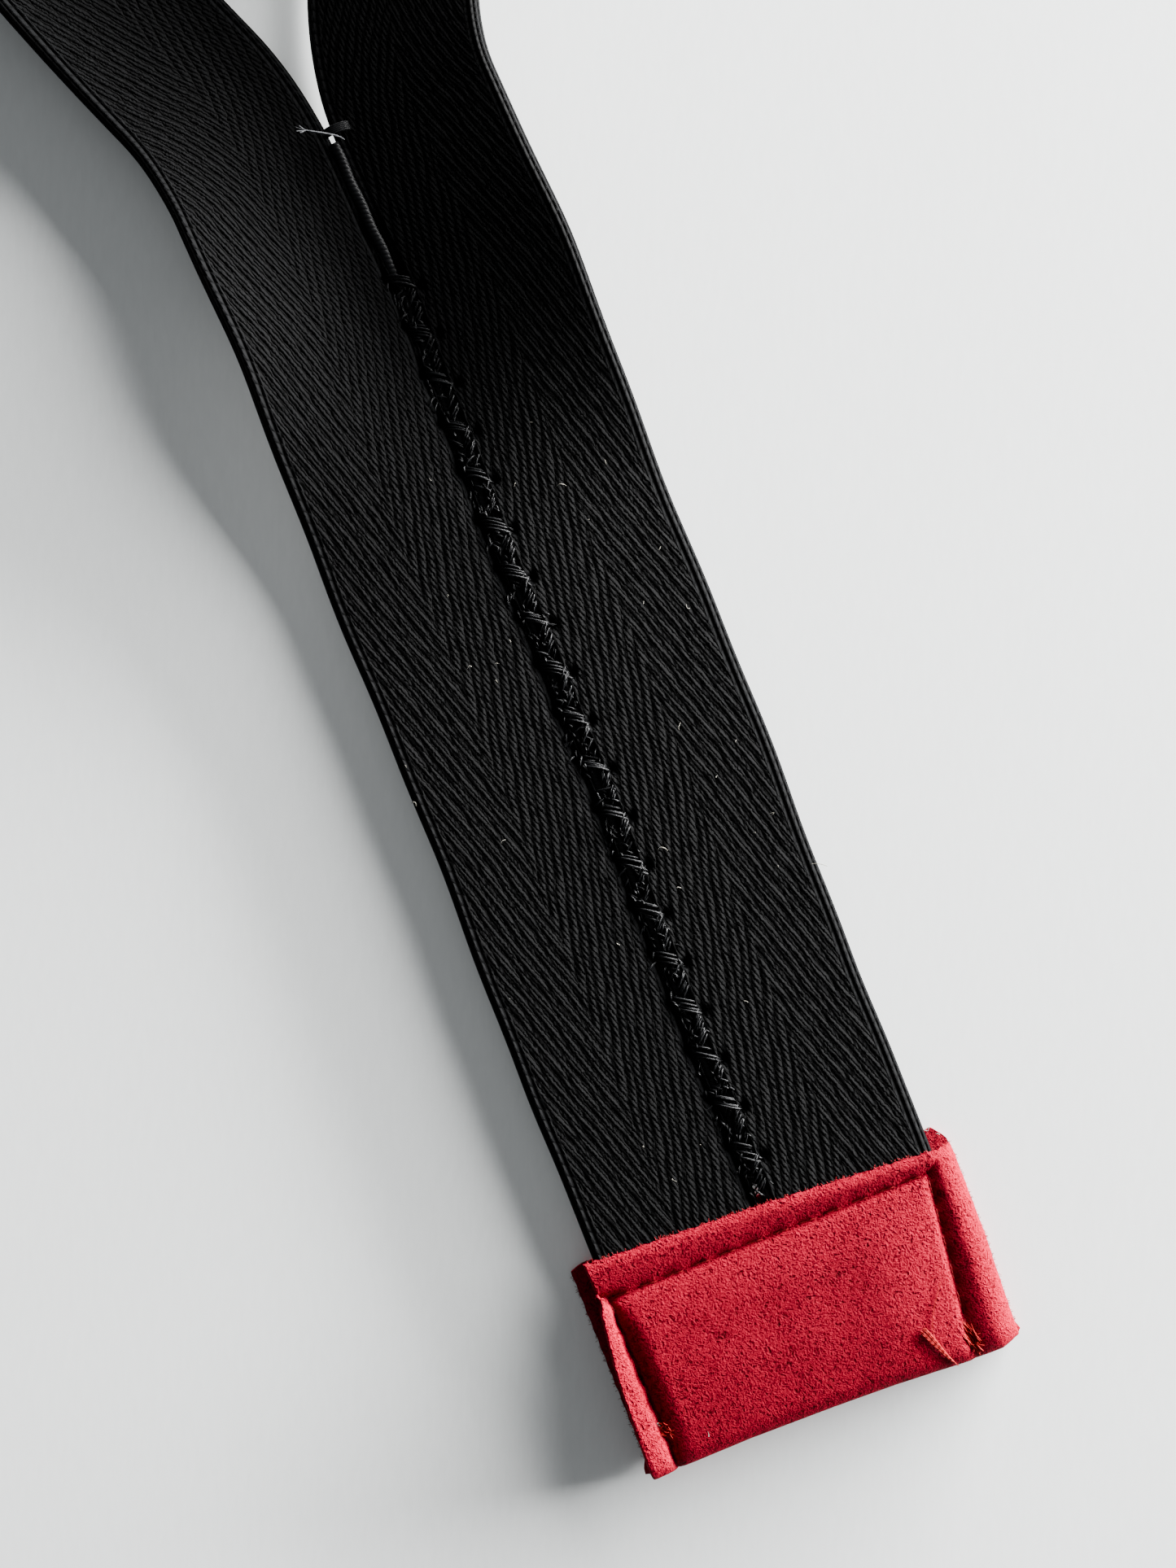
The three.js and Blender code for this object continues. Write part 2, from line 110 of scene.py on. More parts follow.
sway = {
    "wide": (0.22, 11.3, 0.7),  # size, length and phase of a slow and of a quick wave
    "narrow": (0.1, 4.1, 2.0),
    "starts": (24, 45),  # y
    "crotch": (150, 186),
    "straightens": (230, 400),
}
strap["top"] = strap["underside"] + strap["thickness"]


def smoothStep(value, low, high):
    share = np.clip((value - low) / (high - low), 0, 1)
    return share * share * (3 - 2 * share)


def bezier(points, count):
    share = np.linspace(0, 1, count)[:, None]
    layers = [np.array(point, float)[None, :] + 0 * share for point in points]
    while len(layers) > 1:
        layers = [a + (b - a) * share for a, b in zip(layers, layers[1:])]
    return layers[0]


def bandSway(y):  # the flat band isn't quite straight
    waves = [size * np.sin(y / length + phase) for size, length, phase in (sway["wide"], sway["narrow"])]
    settled = smoothStep(y, *sway["crotch"])
    wander = (waves[0] + waves[1]) * smoothStep(y, *sway["starts"]) * (1 - settled)
    return wander - strap["shift"] * settled * (1 - smoothStep(y, *sway["straightens"]))


def legPlan(side):  # one leg's inner edge, from the tab to the far end
    turnY = strap["yokeFold"] + (strap["leftTurn"] if side < 0 else strap["rightTurn"])
    farY = strap["yokeFold"] + strap["farEnd"]
    angle = math.radians(strap["turnAngle"] + (strap["leftExtraTurn"] if side < 0 else 0))
    radius = strap["turnRadius"]
    x = side * strap["gap"] / 2
    turn = np.array((x, turnY))
    corner = turn + (0, radius * math.tan(angle / 2))
    end = turn + (side * radius * (1 - math.cos(angle)), radius * math.sin(angle))
    handle = end + strap["flare"] * np.array((side * math.sin(angle), math.cos(angle)))
    points = np.vstack([
        bezier([(x, strap["yokeFold"]), turn], 60),
        bezier([turn, corner, end], 60)[1:],
        bezier([end, handle, (side * strap["crown"], farY), (0, farY)], 900)[1:],
    ])
    arc = np.concatenate([[0], np.cumsum(np.linalg.norm(np.diff(points, axis=0), axis=1))])
    points = np.vstack([[(x, 0)], points])
    arc = np.concatenate([[-strap["yokeFold"]], arc])
    heading = np.gradient(points, arc, axis=0)
    heading /= np.linalg.norm(heading, axis=1)[:, None]
    return points, heading, arc


legPlans = {side: legPlan(side) for side in (-1, 1)}


def tapeFrame(side, along):  # inner corner of the face, direction across, face normal
    points, heading, arc = legPlans[side]
    x, y = (np.interp(along, arc, points[:, axis]) for axis in (0, 1))
    headX, headY = (np.interp(along, arc, heading[:, axis]) for axis in (0, 1))
    first = strap["firstRoll"][0 if side < 0 else 1]
    reach = strap["firstRollReach"]
    rest = (1 - first) * smoothStep(along, *strap["restOfRoll"])
    roll = math.pi / 2 * (first * smoothStep(along, -reach, reach) + rest)
    comesDown = (strap["underside"] - strap["floorGap"]) * smoothStep(along, *strap["settle"])
    underside = strap["underside"] - comesDown
    flat = np.zeros_like(x)
    outward = side * np.stack([headY, -headX, flat], axis=-1)
    up = np.stack([flat, flat, flat + 1], axis=-1)
    cos, sin = np.cos(roll)[..., None], np.sin(roll)[..., None]
    origin = np.stack([x + bandSway(y), y, underside + strap["thickness"] * np.cos(roll)], axis=-1)
    return origin, outward * cos + up * sin, up * cos - outward * sin


def makeMesh(name, vertices, faces, uvs=None, flatFaces=()):
    mesh = bpy.data.meshes.new(name)
    mesh.from_pydata((np.asarray(vertices) * mm).tolist(), [], faces)
    mesh.polygons.foreach_set("use_smooth", [True] * len(mesh.polygons))
    if uvs is not None:
        layer = mesh.uv_layers.new(name="weave")
        layer.data.foreach_set("uv", np.asarray(uvs, float).ravel())
    for index in flatFaces:
        mesh.polygons[index].use_smooth = False
    if len(flatFaces):
        rims = {tuple(sorted(edge)) for index in flatFaces for edge in mesh.polygons[index].edge_keys}
        for edge in mesh.edges:
            if tuple(sorted(edge.vertices)) in rims:
                edge.use_edge_sharp = True
    mesh.validate()
    piece = bpy.data.objects.new(name, mesh)
    bpy.context.collection.objects.link(piece)
    return piece


def newThreads():
    return {"vertices": [], "faces": [], "uvs": [], "count": 0}


def addThread(threads, points, radius, sides=8, taper=1.0, turns=0.0):  # taper: end over middle
    points = np.asarray(points, float)
    rings = len(points)
    tangent = np.gradient(points, axis=0)
    tangent /= np.linalg.norm(tangent, axis=1)[:, None]
    start = np.array((0, 0, 1.0)) if abs(tangent[0][2]) < 0.9 else np.array((1.0, 0, 0))
    normal = np.cross(tangent[0], start)
    length = np.concatenate([[0], np.cumsum(np.linalg.norm(np.diff(points, axis=0), axis=1))])
    base = threads["count"]
    angles = np.arange(sides) / sides * 2 * math.pi
    for ring in range(rings):
        normal = normal - tangent[ring] * normal.dot(tangent[ring])
        normal /= np.linalg.norm(normal)
        side = np.cross(tangent[ring], normal)
        share = abs(2 * ring / (rings - 1) - 1)
        width = radius * (1 - (1 - taper) * share ** 3)
        circle = np.cos(angles)[:, None] * normal + np.sin(angles)[:, None] * side
        threads["vertices"].append(points[ring] + width * circle)
    for ring in range(rings - 1):
        for step in range(sides):
            nextStep = (step + 1) % sides
            a, b = base + ring * sides + step, base + ring * sides + nextStep
            threads["faces"].append((a, b, b + sides, a + sides))
            low, high = length[ring], length[ring + 1]
            around, onward = step / sides + turns, (step + 1) / sides + turns
            threads["uvs"] += [(around, low), (onward, low), (onward, high), (around, high)]
    last = base + (rings - 1) * sides
    threads["faces"].append(tuple(range(base + sides - 1, base - 1, -1)))
    threads["faces"].append(tuple(range(last, last + sides)))
    threads["uvs"] += [(step / sides, 0) for step in range(sides)] * 2
    threads["count"] += rings * sides


def threadPiece(name, threads):
    return makeMesh(name, np.vstack(threads["vertices"]), threads["faces"], threads["uvs"])


def dress(piece, material, node, body):  # a piece that stands for one node and moves with one body
    piece.data.materials.append(material)
    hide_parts(node)
    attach(piece, body)


def fillSocket(tree, socket, value):
    if isinstance(value, bpy.types.NodeSocket):
        tree.links.new(value, socket)
    else:
        socket.default_value = value


def addNode(tree, kind, sockets=None, **settings):
    node = tree.nodes.new(kind)
    node.location = (170 * (len(tree.nodes) % 12), -160 * (len(tree.nodes) // 12))
    for name, value in settings.items():
        setattr(node, name, value)
    for name, value in (sockets or {}).items():
        fillSocket(tree, node.inputs[name], value)
    return node


def calc(tree, operation, *values, clamp=False):
    sockets = dict(enumerate(values))
    return addNode(tree, "ShaderNodeMath", sockets, operation=operation, use_clamp=clamp).outputs[0]


def plus(tree, first, second, clamp=False):
    return calc(tree, "ADD", first, second, clamp=clamp)


def minus(tree, first, second):
    return calc(tree, "SUBTRACT", first, second)


def times(tree, first, second):
    return calc(tree, "MULTIPLY", first, second)


def per(tree, first, second):
    return calc(tree, "DIVIDE", first, second)


def ramp(tree, value, low, high, toLow=0.0, toHigh=1.0):
    node = addNode(tree, "ShaderNodeMapRange", interpolation_type="SMOOTHSTEP")
    for index, part in enumerate((value, low, high, toLow, toHigh)):
        fillSocket(tree, node.inputs[index], part)
    return node.outputs[0]


def mixColour(tree, share, first, second):
    node = addNode(tree, "ShaderNodeMix", data_type="RGBA")
    for index, part in ((0, share), (6, first), (7, second)):
        fillSocket(tree, node.inputs[index], part)
    return node.outputs[2]


def newGroup(name, inputs, outputs):
    tree = bpy.data.node_groups.new(name, "ShaderNodeTree")
    for label, kind, value in inputs:
        socket = tree.interface.new_socket(label, in_out="INPUT", socket_type=kind)
        if value is not None:
            socket.default_value = value
    for label, kind in outputs:
        tree.interface.new_socket(label, in_out="OUTPUT", socket_type=kind)
    source = tree.nodes.new("NodeGroupInput")
    result = tree.nodes.new("NodeGroupOutput")
    return tree, source.outputs, result.inputs


def newMaterial(name, settings):
    material = bpy.data.materials.new(name)
    material.use_nodes = True
    tree = material.node_tree
    shader = tree.nodes["Principled BSDF"]
    for socket, value in settings.items():
        shader.inputs[socket].default_value = value
    return material, tree, shader


def addBump(tree, shader, height, distance, strength=1.0):
    bump = addNode(tree, "ShaderNodeBump", {"Strength": strength, "Distance": distance * mm, "Height": height})
    tree.links.new(bump.outputs[0], shader.inputs["Normal"])


def scaledNoise(tree, vector, scale, detail=2.0, roughness=0.5, distortion=0.0):
    sockets = {"Vector": vector, "Scale": scale, "Detail": detail, "Roughness": roughness}
    sockets["Distortion"] = distortion
    return addNode(tree, "ShaderNodeTexNoise", sockets).outputs["Fac"]


weave = {
    "ribSpacing": 1.28,  # mm across the tape
    "ribAngle": 13.5,  # degrees off the tape's length
    "ribDepth": 0.2,
    "selvedge": 1.9,
    "cord": 0.95,  # two cords make the selvedge
    "cordDepth": 0.14,
    "loopLength": 1.7,  # the cords are chains of loops
    "yarnSlant": 21,  # degrees; the yarns lean the same way on both halves
    "yarnSpacing": 0.6,
    "edgeRadius": 0.8,
    "faceStep": 0.285,  # mm between the mesh's columns
    "rowStep": 0.62,
    "farRowStep": 1.25,
    "fineUntil": 105,  # mm past the yoke fold
    "split": 95,  # the two halves of each tape meet here
}

seam = {
    "pitch": 7.3,  # mm, one cluster of stitches
    "start": 157,  # first cluster
    "end": 18.5,
    "lastOver": 19,  # the clusters below these stay away, on the face and on the back
    "lastUnder": 28,
    "threadRadius": 0.15,
    "crossings": 4,
    "fan": 9,
    "fill": 26,
    "offset": 0.55,  # the clusters sit a little right of the joint
}
clusterStarts = np.arange(seam["start"], seam["end"], -seam["pitch"])


def tapeSection():  # place, normal and running size round the tape, from the inner corner
    width, thickness, radius = strap["width"], strap["thickness"], weave["edgeRadius"]
    columns = int(round((width - 2 * radius) / weave["faceStep"]))
    across = np.linspace(radius, width - radius, columns + 1)
    turns = np.linspace(0, math.pi / 2, 5)[1:-1]
    wall = np.linspace(radius, thickness - radius, 4)
    rows = []
    for a in across:
        rows.append((a, 0, 0, 1, a))
    for turn in turns:
        a = width - radius + radius * math.sin(turn)
        b = -radius + radius * math.cos(turn)
        rows.append((a, b, math.sin(turn), math.cos(turn), width + radius * (2 * turn / (math.pi / 2) - 1)))
    for depth in wall:
        rows.append((width, -depth, 1, 0, width + depth))
    half = len(rows)
    total = 2 * (width + thickness)
    mirrored = [(a, -thickness - b, na, -nb, total - thickness - u) for a, b, na, nb, u in rows[:half]]
    bottom = mirrored[::-1]
    outer = rows + [row for row in bottom if row[4] > rows[-1][4] + 0.05]
    inner = []
    for turn in turns:
        a = radius - radius * math.sin(turn)
        b = -thickness + radius - radius * math.cos(turn)
        u = 2 * width + thickness + radius * (2 * turn / (math.pi / 2) - 1)
        inner.append((a, b, -math.sin(turn), -math.cos(turn), u))
    for depth in wall:
        inner.append((0, -thickness + depth, -1, 0, 2 * width + thickness + depth))
    for turn in turns:
        a = radius - radius * math.cos(turn)
        b = -radius + radius * math.sin(turn)
        u = total - radius + radius * (2 * turn / (math.pi / 2))
        inner.append((a, b, -math.cos(turn), math.sin(turn), u))
    return np.array(outer + inner), total


def weaveRelief(side, size, along):  # how far the weave stands out, in mm
    width, thickness = strap["width"], strap["thickness"]
    half = width + thickness / 2
    across = half - np.abs(size - half)
    fromMiddle = np.abs(across - width / 2)
    wobble = 0.16 * np.sin(along / 3.1 + across * 1.7) + 0.13 * np.sin(along / 1.27 - across * 0.9)
    wobble = wobble + 0.14 * np.sin(along / 7.7 - across * 2.6 + 1)
    lean = side * along * math.tan(math.radians(weave["ribAngle"]))
    phase = (fromMiddle + lean + wobble) / weave["ribSpacing"]
    inRib = 2 * (phase - np.floor(phase)) - 1
    rope = np.sqrt(1 - inRib ** 2) - 0.6
    edge = width / 2 - fromMiddle
    cords = np.abs(np.cos(math.pi * edge / weave["cord"])) - 0.5
    inWeave = smoothStep(edge, weave["selvedge"] - 0.2, weave["selvedge"] + 0.1)
    return weave["ribDepth"] * rope * inWeave + weave["cordDepth"] * cords * (1 - inWeave)


def seamValley(side, size, along):  # the seam pulls each tape's inner edge in
    y = along + strap["yokeFold"]
    reach, depth = (3.0, 1.15) if side < 0 else (1.9, 0.7)
    joined = 1 - smoothStep(y, 160, 172)
    onFace = size < strap["width"] / 2
    pulse = 0.75 + 0.25 * np.cos(2 * math.pi * (seam["start"] - y) / seam["pitch"])
    valley = depth * (1 - smoothStep(size, 0, reach)) * pulse
    holes = np.zeros_like(size + along)
    holeAcross, holeDown = (1.5, 0.4) if side < 0 else (2.5, 3.3)
    for start in clusterStarts:
        distance = (size - holeAcross) ** 2 + (y - start + holeDown) ** 2
        holes += 0.8 * np.exp(-distance / 0.35)
    inner = size > 2 * strap["width"] + strap["thickness"]
    return joined * np.where(onFace, valley + holes, np.where(inner, 0.25, 0))


def tapeRows(start, end):
    edges = np.clip([start, weave["fineUntil"], end], start, end)
    fine = np.linspace(edges[0], edges[1], max(2, int((edges[1] - edges[0]) / weave["rowStep"])))
    if edges[2] <= edges[1]:
        return fine
    far = np.linspace(edges[1], edges[2], int((edges[2] - edges[1]) / weave["farRowStep"]))
    return np.concatenate([fine, far[1:]])


def tapeLength(name, side, start, end):
    section, total = tapeSection()
    along = tapeRows(start, end)
    origin, across, face = tapeFrame(side, along)
    a, b, normalA, normalB, size = (section[:, column] for column in range(5))
    relief = weaveRelief(side, size[None, :], along[:, None]) - seamValley(side, size[None, :], along[:, None])
    outA = a[None, :] + relief * normalA[None, :]
    outB = b[None, :] + relief * normalB[None, :]
    vertices = origin[:, None, :] + outA[..., None] * across[:, None, :] + outB[..., None] * face[:, None, :]
    rows, ring = len(along), len(section)
    index = np.arange(rows * ring).reshape(rows, ring)
    nextColumn = np.roll(index, -1, axis=1)
    quads = np.stack([index[:-1], nextColumn[:-1], nextColumn[1:], index[1:]], axis=-1).reshape(-1, 4)
    sizeNext = np.append(size[1:], total + size[0])
    flat = np.zeros((rows - 1, ring))
    uSides = np.stack([flat + size, flat + sizeNext, flat + sizeNext, flat + size], axis=-1).reshape(-1, 4)
    low, high = along[:-1, None] + flat, along[1:, None] + flat
    vSides = np.stack([low, low, high, high], axis=-1).reshape(-1, 4)
    if side < 0:
        quads, uSides, vSides = quads[:, ::-1], uSides[:, ::-1], vSides[:, ::-1]
    uvs = np.stack([uSides, vSides], axis=-1).reshape(-1, 2)
    caps = [index[0].tolist(), index[-1].tolist()]
    capUvs = [np.stack([size, size * 0 + along[0]], axis=-1), np.stack([size, size * 0 + along[-1]], axis=-1)]
    flipped = 0 if side > 0 else 1
    caps[flipped] = caps[flipped][::-1]
    capUvs[flipped] = capUvs[flipped][::-1]
    faces = quads.tolist() + caps
    uvs = np.vstack([uvs] + capUvs)
    return makeMesh(name, vertices.reshape(-1, 3), faces, uvs, flatFaces=(len(faces) - 2, len(faces) - 1))


def weaveGroup():  # herringbone ribs of leaning yarns, with plain cords along the edges; the tone paints shade into the gaps and a highlight onto the selvedge
    tree, given, result = newGroup(
        "herringboneTape",
        [
            ("Place", "NodeSocketVector", None),
            ("Side", "NodeSocketFloat", 1.0),
            ("Width", "NodeSocketFloat", 25.0),
            ("Thickness", "NodeSocketFloat", 2.4),
            ("Rib spacing", "NodeSocketFloat", 1.28),
            ("Yarn spacing", "NodeSocketFloat", 0.5),
        ],
        [("Height", "NodeSocketFloat"), ("Tone", "NodeSocketFloat")],
    )
    parts = addNode(tree, "ShaderNodeSeparateXYZ", {0: given["Place"]}).outputs
    size, along = parts[0], parts[1]
    side = given["Side"]
    half = plus(tree, given["Width"], times(tree, given["Thickness"], 0.5))
    across = minus(tree, half, calc(tree, "ABSOLUTE", minus(tree, size, half)))
    halfWidth = times(tree, given["Width"], 0.5)
    fromMiddle = calc(tree, "ABSOLUTE", minus(tree, across, halfWidth))
    wander = minus(tree, scaledNoise(tree, given["Place"], 0.7, 2), 0.5)
    ragged = minus(tree, scaledNoise(tree, given["Place"], 2.3, 2), 0.5)
    ribSlope = math.tan(math.radians(weave["ribAngle"]))
    leaning = times(tree, times(tree, along, side), ribSlope)
    ribPlace = plus(tree, plus(tree, fromMiddle, leaning), times(tree, wander, 0.9))
    phase = per(tree, ribPlace, given["Rib spacing"])
    inRib = minus(tree, times(tree, calc(tree, "FRACT", phase), 2.0), 1.0)
    rope = calc(tree, "SQRT", minus(tree, 1.0, times(tree, inRib, inRib)))
    slant = math.radians(weave["yarnSlant"])
    lateral = times(tree, across, side)
    cos, sin = math.cos(slant), math.sin(slant)
    yarnAcross = plus(tree, times(tree, lateral, cos), times(tree, along, sin))
    yarnAlong = minus(tree, times(tree, along, cos), times(tree, lateral, sin))
    loosened = plus(tree, yarnAcross, times(tree, ragged, 0.45))
    perRib = times(tree, calc(tree, "FLOOR", phase), 0.37)
    yarn = plus(tree, per(tree, loosened, given["Yarn spacing"]), perRib)
    lump = calc(tree, "ABSOLUTE", calc(tree, "SINE", times(tree, yarn, math.pi)))
    fibrePlace = addNode(
        tree,
        "ShaderNodeCombineXYZ",
        {0: times(tree, loosened, 7.0), 1: times(tree, yarnAlong, 1.1), 2: 0.0},
    ).outputs[0]
    fibre = scaledNoise(tree, fibrePlace, 1.0, 3, 0.6, 0.4)
    uneven = ramp(tree, scaledNoise(tree, given["Place"], 0.55, 3), 0.3, 0.7, 0.7, 1.15)
    ribHeight = times(tree, times(tree, rope, uneven), plus(tree, times(tree, lump, 0.8), 0.2))
    edge = minus(tree, halfWidth, fromMiddle)
    cordPlace = per(tree, edge, weave["cord"])
    cord = calc(tree, "ABSOLUTE", calc(tree, "COSINE", times(tree, cordPlace, math.pi)))
    offset = times(tree, calc(tree, "FLOOR", cordPlace), 0.5)
    loopPhase = plus(tree, per(tree, along, weave["loopLength"]), offset)
    loopSkew = plus(tree, loopPhase, times(tree, cordPlace, 0.35))
    loop = calc(tree, "ABSOLUTE", calc(tree, "SINE", times(tree, loopSkew, math.pi)))
    edgeHeight = times(tree, cord, plus(tree, times(tree, loop, 0.9), 0.3))
    isEdge = ramp(tree, edge, weave["selvedge"] - 0.1, weave["selvedge"] + 0.15, 1.0, 0.0)
    height = addNode(tree, "ShaderNodeMix", {0: isEdge, 2: ribHeight, 3: edgeHeight}).outputs[0]
    fuzzy = plus(tree, height, times(tree, minus(tree, fibre, 0.5), 0.4))
    tree.links.new(fuzzy, result["Height"])
    # painted shade: the tone darkens with the weave's height, so the gaps between ribs, yarn lumps and cords read
    # as shaded
    paintedRibShade = calc(tree, "POWER", calc(tree, "MAXIMUM", height, 0.0), 1.5)
    streaks = ramp(tree, fibre, 0.3, 0.75, 0.45, 1.35)
    paintedSelvedgeHighlight = plus(tree, 1.0, times(tree, isEdge, 3.5))  # painted highlight: the selvedge cords are painted paler, as where their rounded edge catches the light
    tree.links.new(times(tree, times(tree, paintedRibShade, streaks), paintedSelvedgeHighlight), result["Tone"])
    return tree


herringboneTape = weaveGroup()


def tapeMaterial(name, side):
    material, tree, shader = newMaterial(name, {
        "Roughness": 0.85,
        "Specular IOR Level": 0.035,
    })
    place = addNode(tree, "ShaderNodeUVMap", uv_map="weave").outputs[0]
    group = addNode(tree, "ShaderNodeGroup", node_tree=herringboneTape)
    tree.links.new(place, group.inputs["Place"])
    group.inputs["Side"].default_value = side
    group.inputs["Width"].default_value = strap["width"]
    group.inputs["Thickness"].default_value = strap["thickness"]
    group.inputs["Rib spacing"].default_value = weave["ribSpacing"]
    group.inputs["Yarn spacing"].default_value = weave["yarnSpacing"]
    colour = mixColour(tree, group.outputs["Tone"], (0.00015, 0.00015, 0.00019, 1), (0.0018, 0.0019, 0.0021, 1))
    tree.links.new(colour, shader.inputs["Base Color"])
    addBump(tree, shader, group.outputs["Height"], 0.42, 1.0)
    return material


tapeMaterials = {side: tapeMaterial(name, side) for side, name in ((-1, "tapeLeftHalf"), (1, "tapeRightHalf"))}


def joinInto(piece, extra):  # the small parts become part of the piece, with their own material
    extra.select_set(True)
    piece.select_set(True)
    bpy.context.view_layer.objects.active = piece
    bpy.ops.object.join()
    piece.select_set(False)


strayFibres = {  # x, y, how far they run, how far they bend
    "long": [
        (8.6, 130.6, 2.9, -1.6, 0.8),
        (23.9, 57.9, 2.2, -1.2, 0.5),
        (4.6, 67.6, 1.4, -0.5, 1.0),
        (10.2, 120.4, 1.4, -0.4, 0.6),
    ],
    "shortCount": 8,
    "shortLength": 0.9,
    "radius": 0.035,
}


def addStrays(piece, side, lowY, highY, seed):
    rng = np.random.default_rng(seed)
    strays = newThreads()
    zTop = strap["top"] + 0.2
    for x, y, runX, runY, bend in strayFibres["long"]:
        if x * side > 0 and lowY < y < highY:
            middle = (x + runX / 2, y + runY / 2 + bend, zTop + 0.6)
            route = [(x, y, zTop - 0.1), middle, (x + runX, y + runY, zTop)]
            addThread(strays, bezier(route, 12), strayFibres["radius"] * 1.5, sides=5, taper=0.5)
    for _ in range(strayFibres["shortCount"]):
        x, y = side * rng.uniform(3.5, 24.6), rng.uniform(lowY, highY)
        run = rng.normal(0, strayFibres["shortLength"] / 2, 2)
        bend = rng.normal(0, 0.4, 2)
        middle = (x + run[0] / 2 + bend[0], y + run[1] / 2 + bend[1], zTop + 0.4)
        route = [(x, y, zTop - 0.2), middle, (x + run[0], y + run[1], zTop)]
        addThread(strays, bezier(route, 8), strayFibres["radius"], sides=4, taper=0.5)
    fibres = threadPiece(piece.name + "_strays", strays)
    fibres.data.materials.append(lintPale)
    joinInto(piece, fibres)


def bendAtFolds(lower, upper):
    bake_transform(lower)
    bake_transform(upper)


def makeTapes():
    splitAlong = weave["split"] - strap["yokeFold"]
    for side, word in ((-1, "left"), (1, "right")):
        lower = tapeLength(f"tape_{word}_lower", side, strap["insideTab"] - strap["yokeFold"], splitAlong)
        upper = tapeLength(f"tape_{word}_upper", side, splitAlong, legPlans[side][2][-1])
        for piece, low, high, seed in ((lower, 22, weave["split"] - 3, 61), (upper, weave["split"] + 3, 150, 71)):
            piece.data.materials.append(tapeMaterials[side])
            addStrays(piece, side, low, high, seed + side)
        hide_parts(f"tape_{word}_tab_end", f"tape_{word}_run")
        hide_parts(f"tape_{word}_run", "tape_neck_loop")
        bendAtFolds(lower, upper)



def twistGroup():  # plies that wind round a thread, with fine fibres along them; the tone paints shade into the grooves between the plies
    tree, given, result = newGroup(
        "threadTwist",
        [
            ("Place", "NodeSocketVector", None),
            ("Plies", "NodeSocketFloat", 3.0),
            ("Lay", "NodeSocketFloat", 1.2),
        ],
        [("Height", "NodeSocketFloat"), ("Tone", "NodeSocketFloat")],
    )
    parts = addNode(tree, "ShaderNodeSeparateXYZ", {0: given["Place"]}).outputs
    wound = plus(tree, times(tree, parts[0], given["Plies"]), per(tree, parts[1], given["Lay"]))
    ply = calc(tree, "ABSOLUTE", calc(tree, "SINE", times(tree, wound, math.pi)))
    fibrePlace = addNode(
        tree,
        "ShaderNodeCombineXYZ",
        {0: times(tree, wound, 5.0), 1: times(tree, parts[1], 1.2), 2: 0.0},
    ).outputs[0]
    fibre = scaledNoise(tree, fibrePlace, 1.0, 3, 0.6, 0.3)
    height = plus(tree, ply, times(tree, fibre, 0.5))
    tree.links.new(height, result["Height"])
    # painted shade: the tone darkens into the grooves between the plies
    paintedPlyShade = calc(tree, "POWER", ply, 0.7)
    tree.links.new(times(tree, paintedPlyShade, ramp(tree, fibre, 0.3, 0.7, 0.5, 1.3)), result["Tone"])
    return tree


threadTwist = twistGroup()


def threadMaterial(name, dark, light, roughness, sheen, lay, depth):
    dark, light = dark + (1,), light + (1,)
    material, tree, shader = newMaterial(name, {
        "Roughness": roughness,
        "Specular IOR Level": 0.1,
        "Sheen Weight": sheen,
        "Sheen Roughness": 0.4,
    })
    place = addNode(tree, "ShaderNodeUVMap", uv_map="weave").outputs[0]
    group = addNode(tree, "ShaderNodeGroup", node_tree=threadTwist)
    tree.links.new(place, group.inputs["Place"])
    group.inputs["Lay"].default_value = lay
    tree.links.new(mixColour(tree, group.outputs["Tone"], dark, light), shader.inputs["Base Color"])
    addBump(tree, shader, group.outputs["Height"], depth)
    return material


threadColours = {  # dark tone, light tone, roughness, sheen, lay of the plies, bump depth
    "seamThreadBlack": ((0.0003, 0.0003, 0.0004), (0.0042, 0.0044, 0.005), 0.42, 0.0, 0.7, 0.06),
    "looseThreadGrey": ((0.02, 0.021, 0.024), (0.09, 0.092, 0.098), 0.6, 0.1, 0.9, 0.06),
    "paleLint": ((0.05, 0.048, 0.04), (0.16, 0.15, 0.125), 0.6, 0.1, 0.9, 0.02),
    "topstitchRed": ((0.06, 0.0008, 0.003), (0.26, 0.007, 0.012), 0.5, 0.0, 0.8, 0.05),
    "frayedRed": ((0.08, 0.0001, 0.0006), (0.19, 0.0003, 0.0016), 0.8, 0.0, 0.8, 0.03),
}
threadMaterials = {name: threadMaterial(name, *values) for name, values in threadColours.items()}
seamBlack, tailGrey = threadMaterials["seamThreadBlack"], threadMaterials["looseThreadGrey"]
lintPale, stitchRed = threadMaterials["paleLint"], threadMaterials["topstitchRed"]
tuftRed = threadMaterials["frayedRed"]


makeTapes()
print("tapes woven")


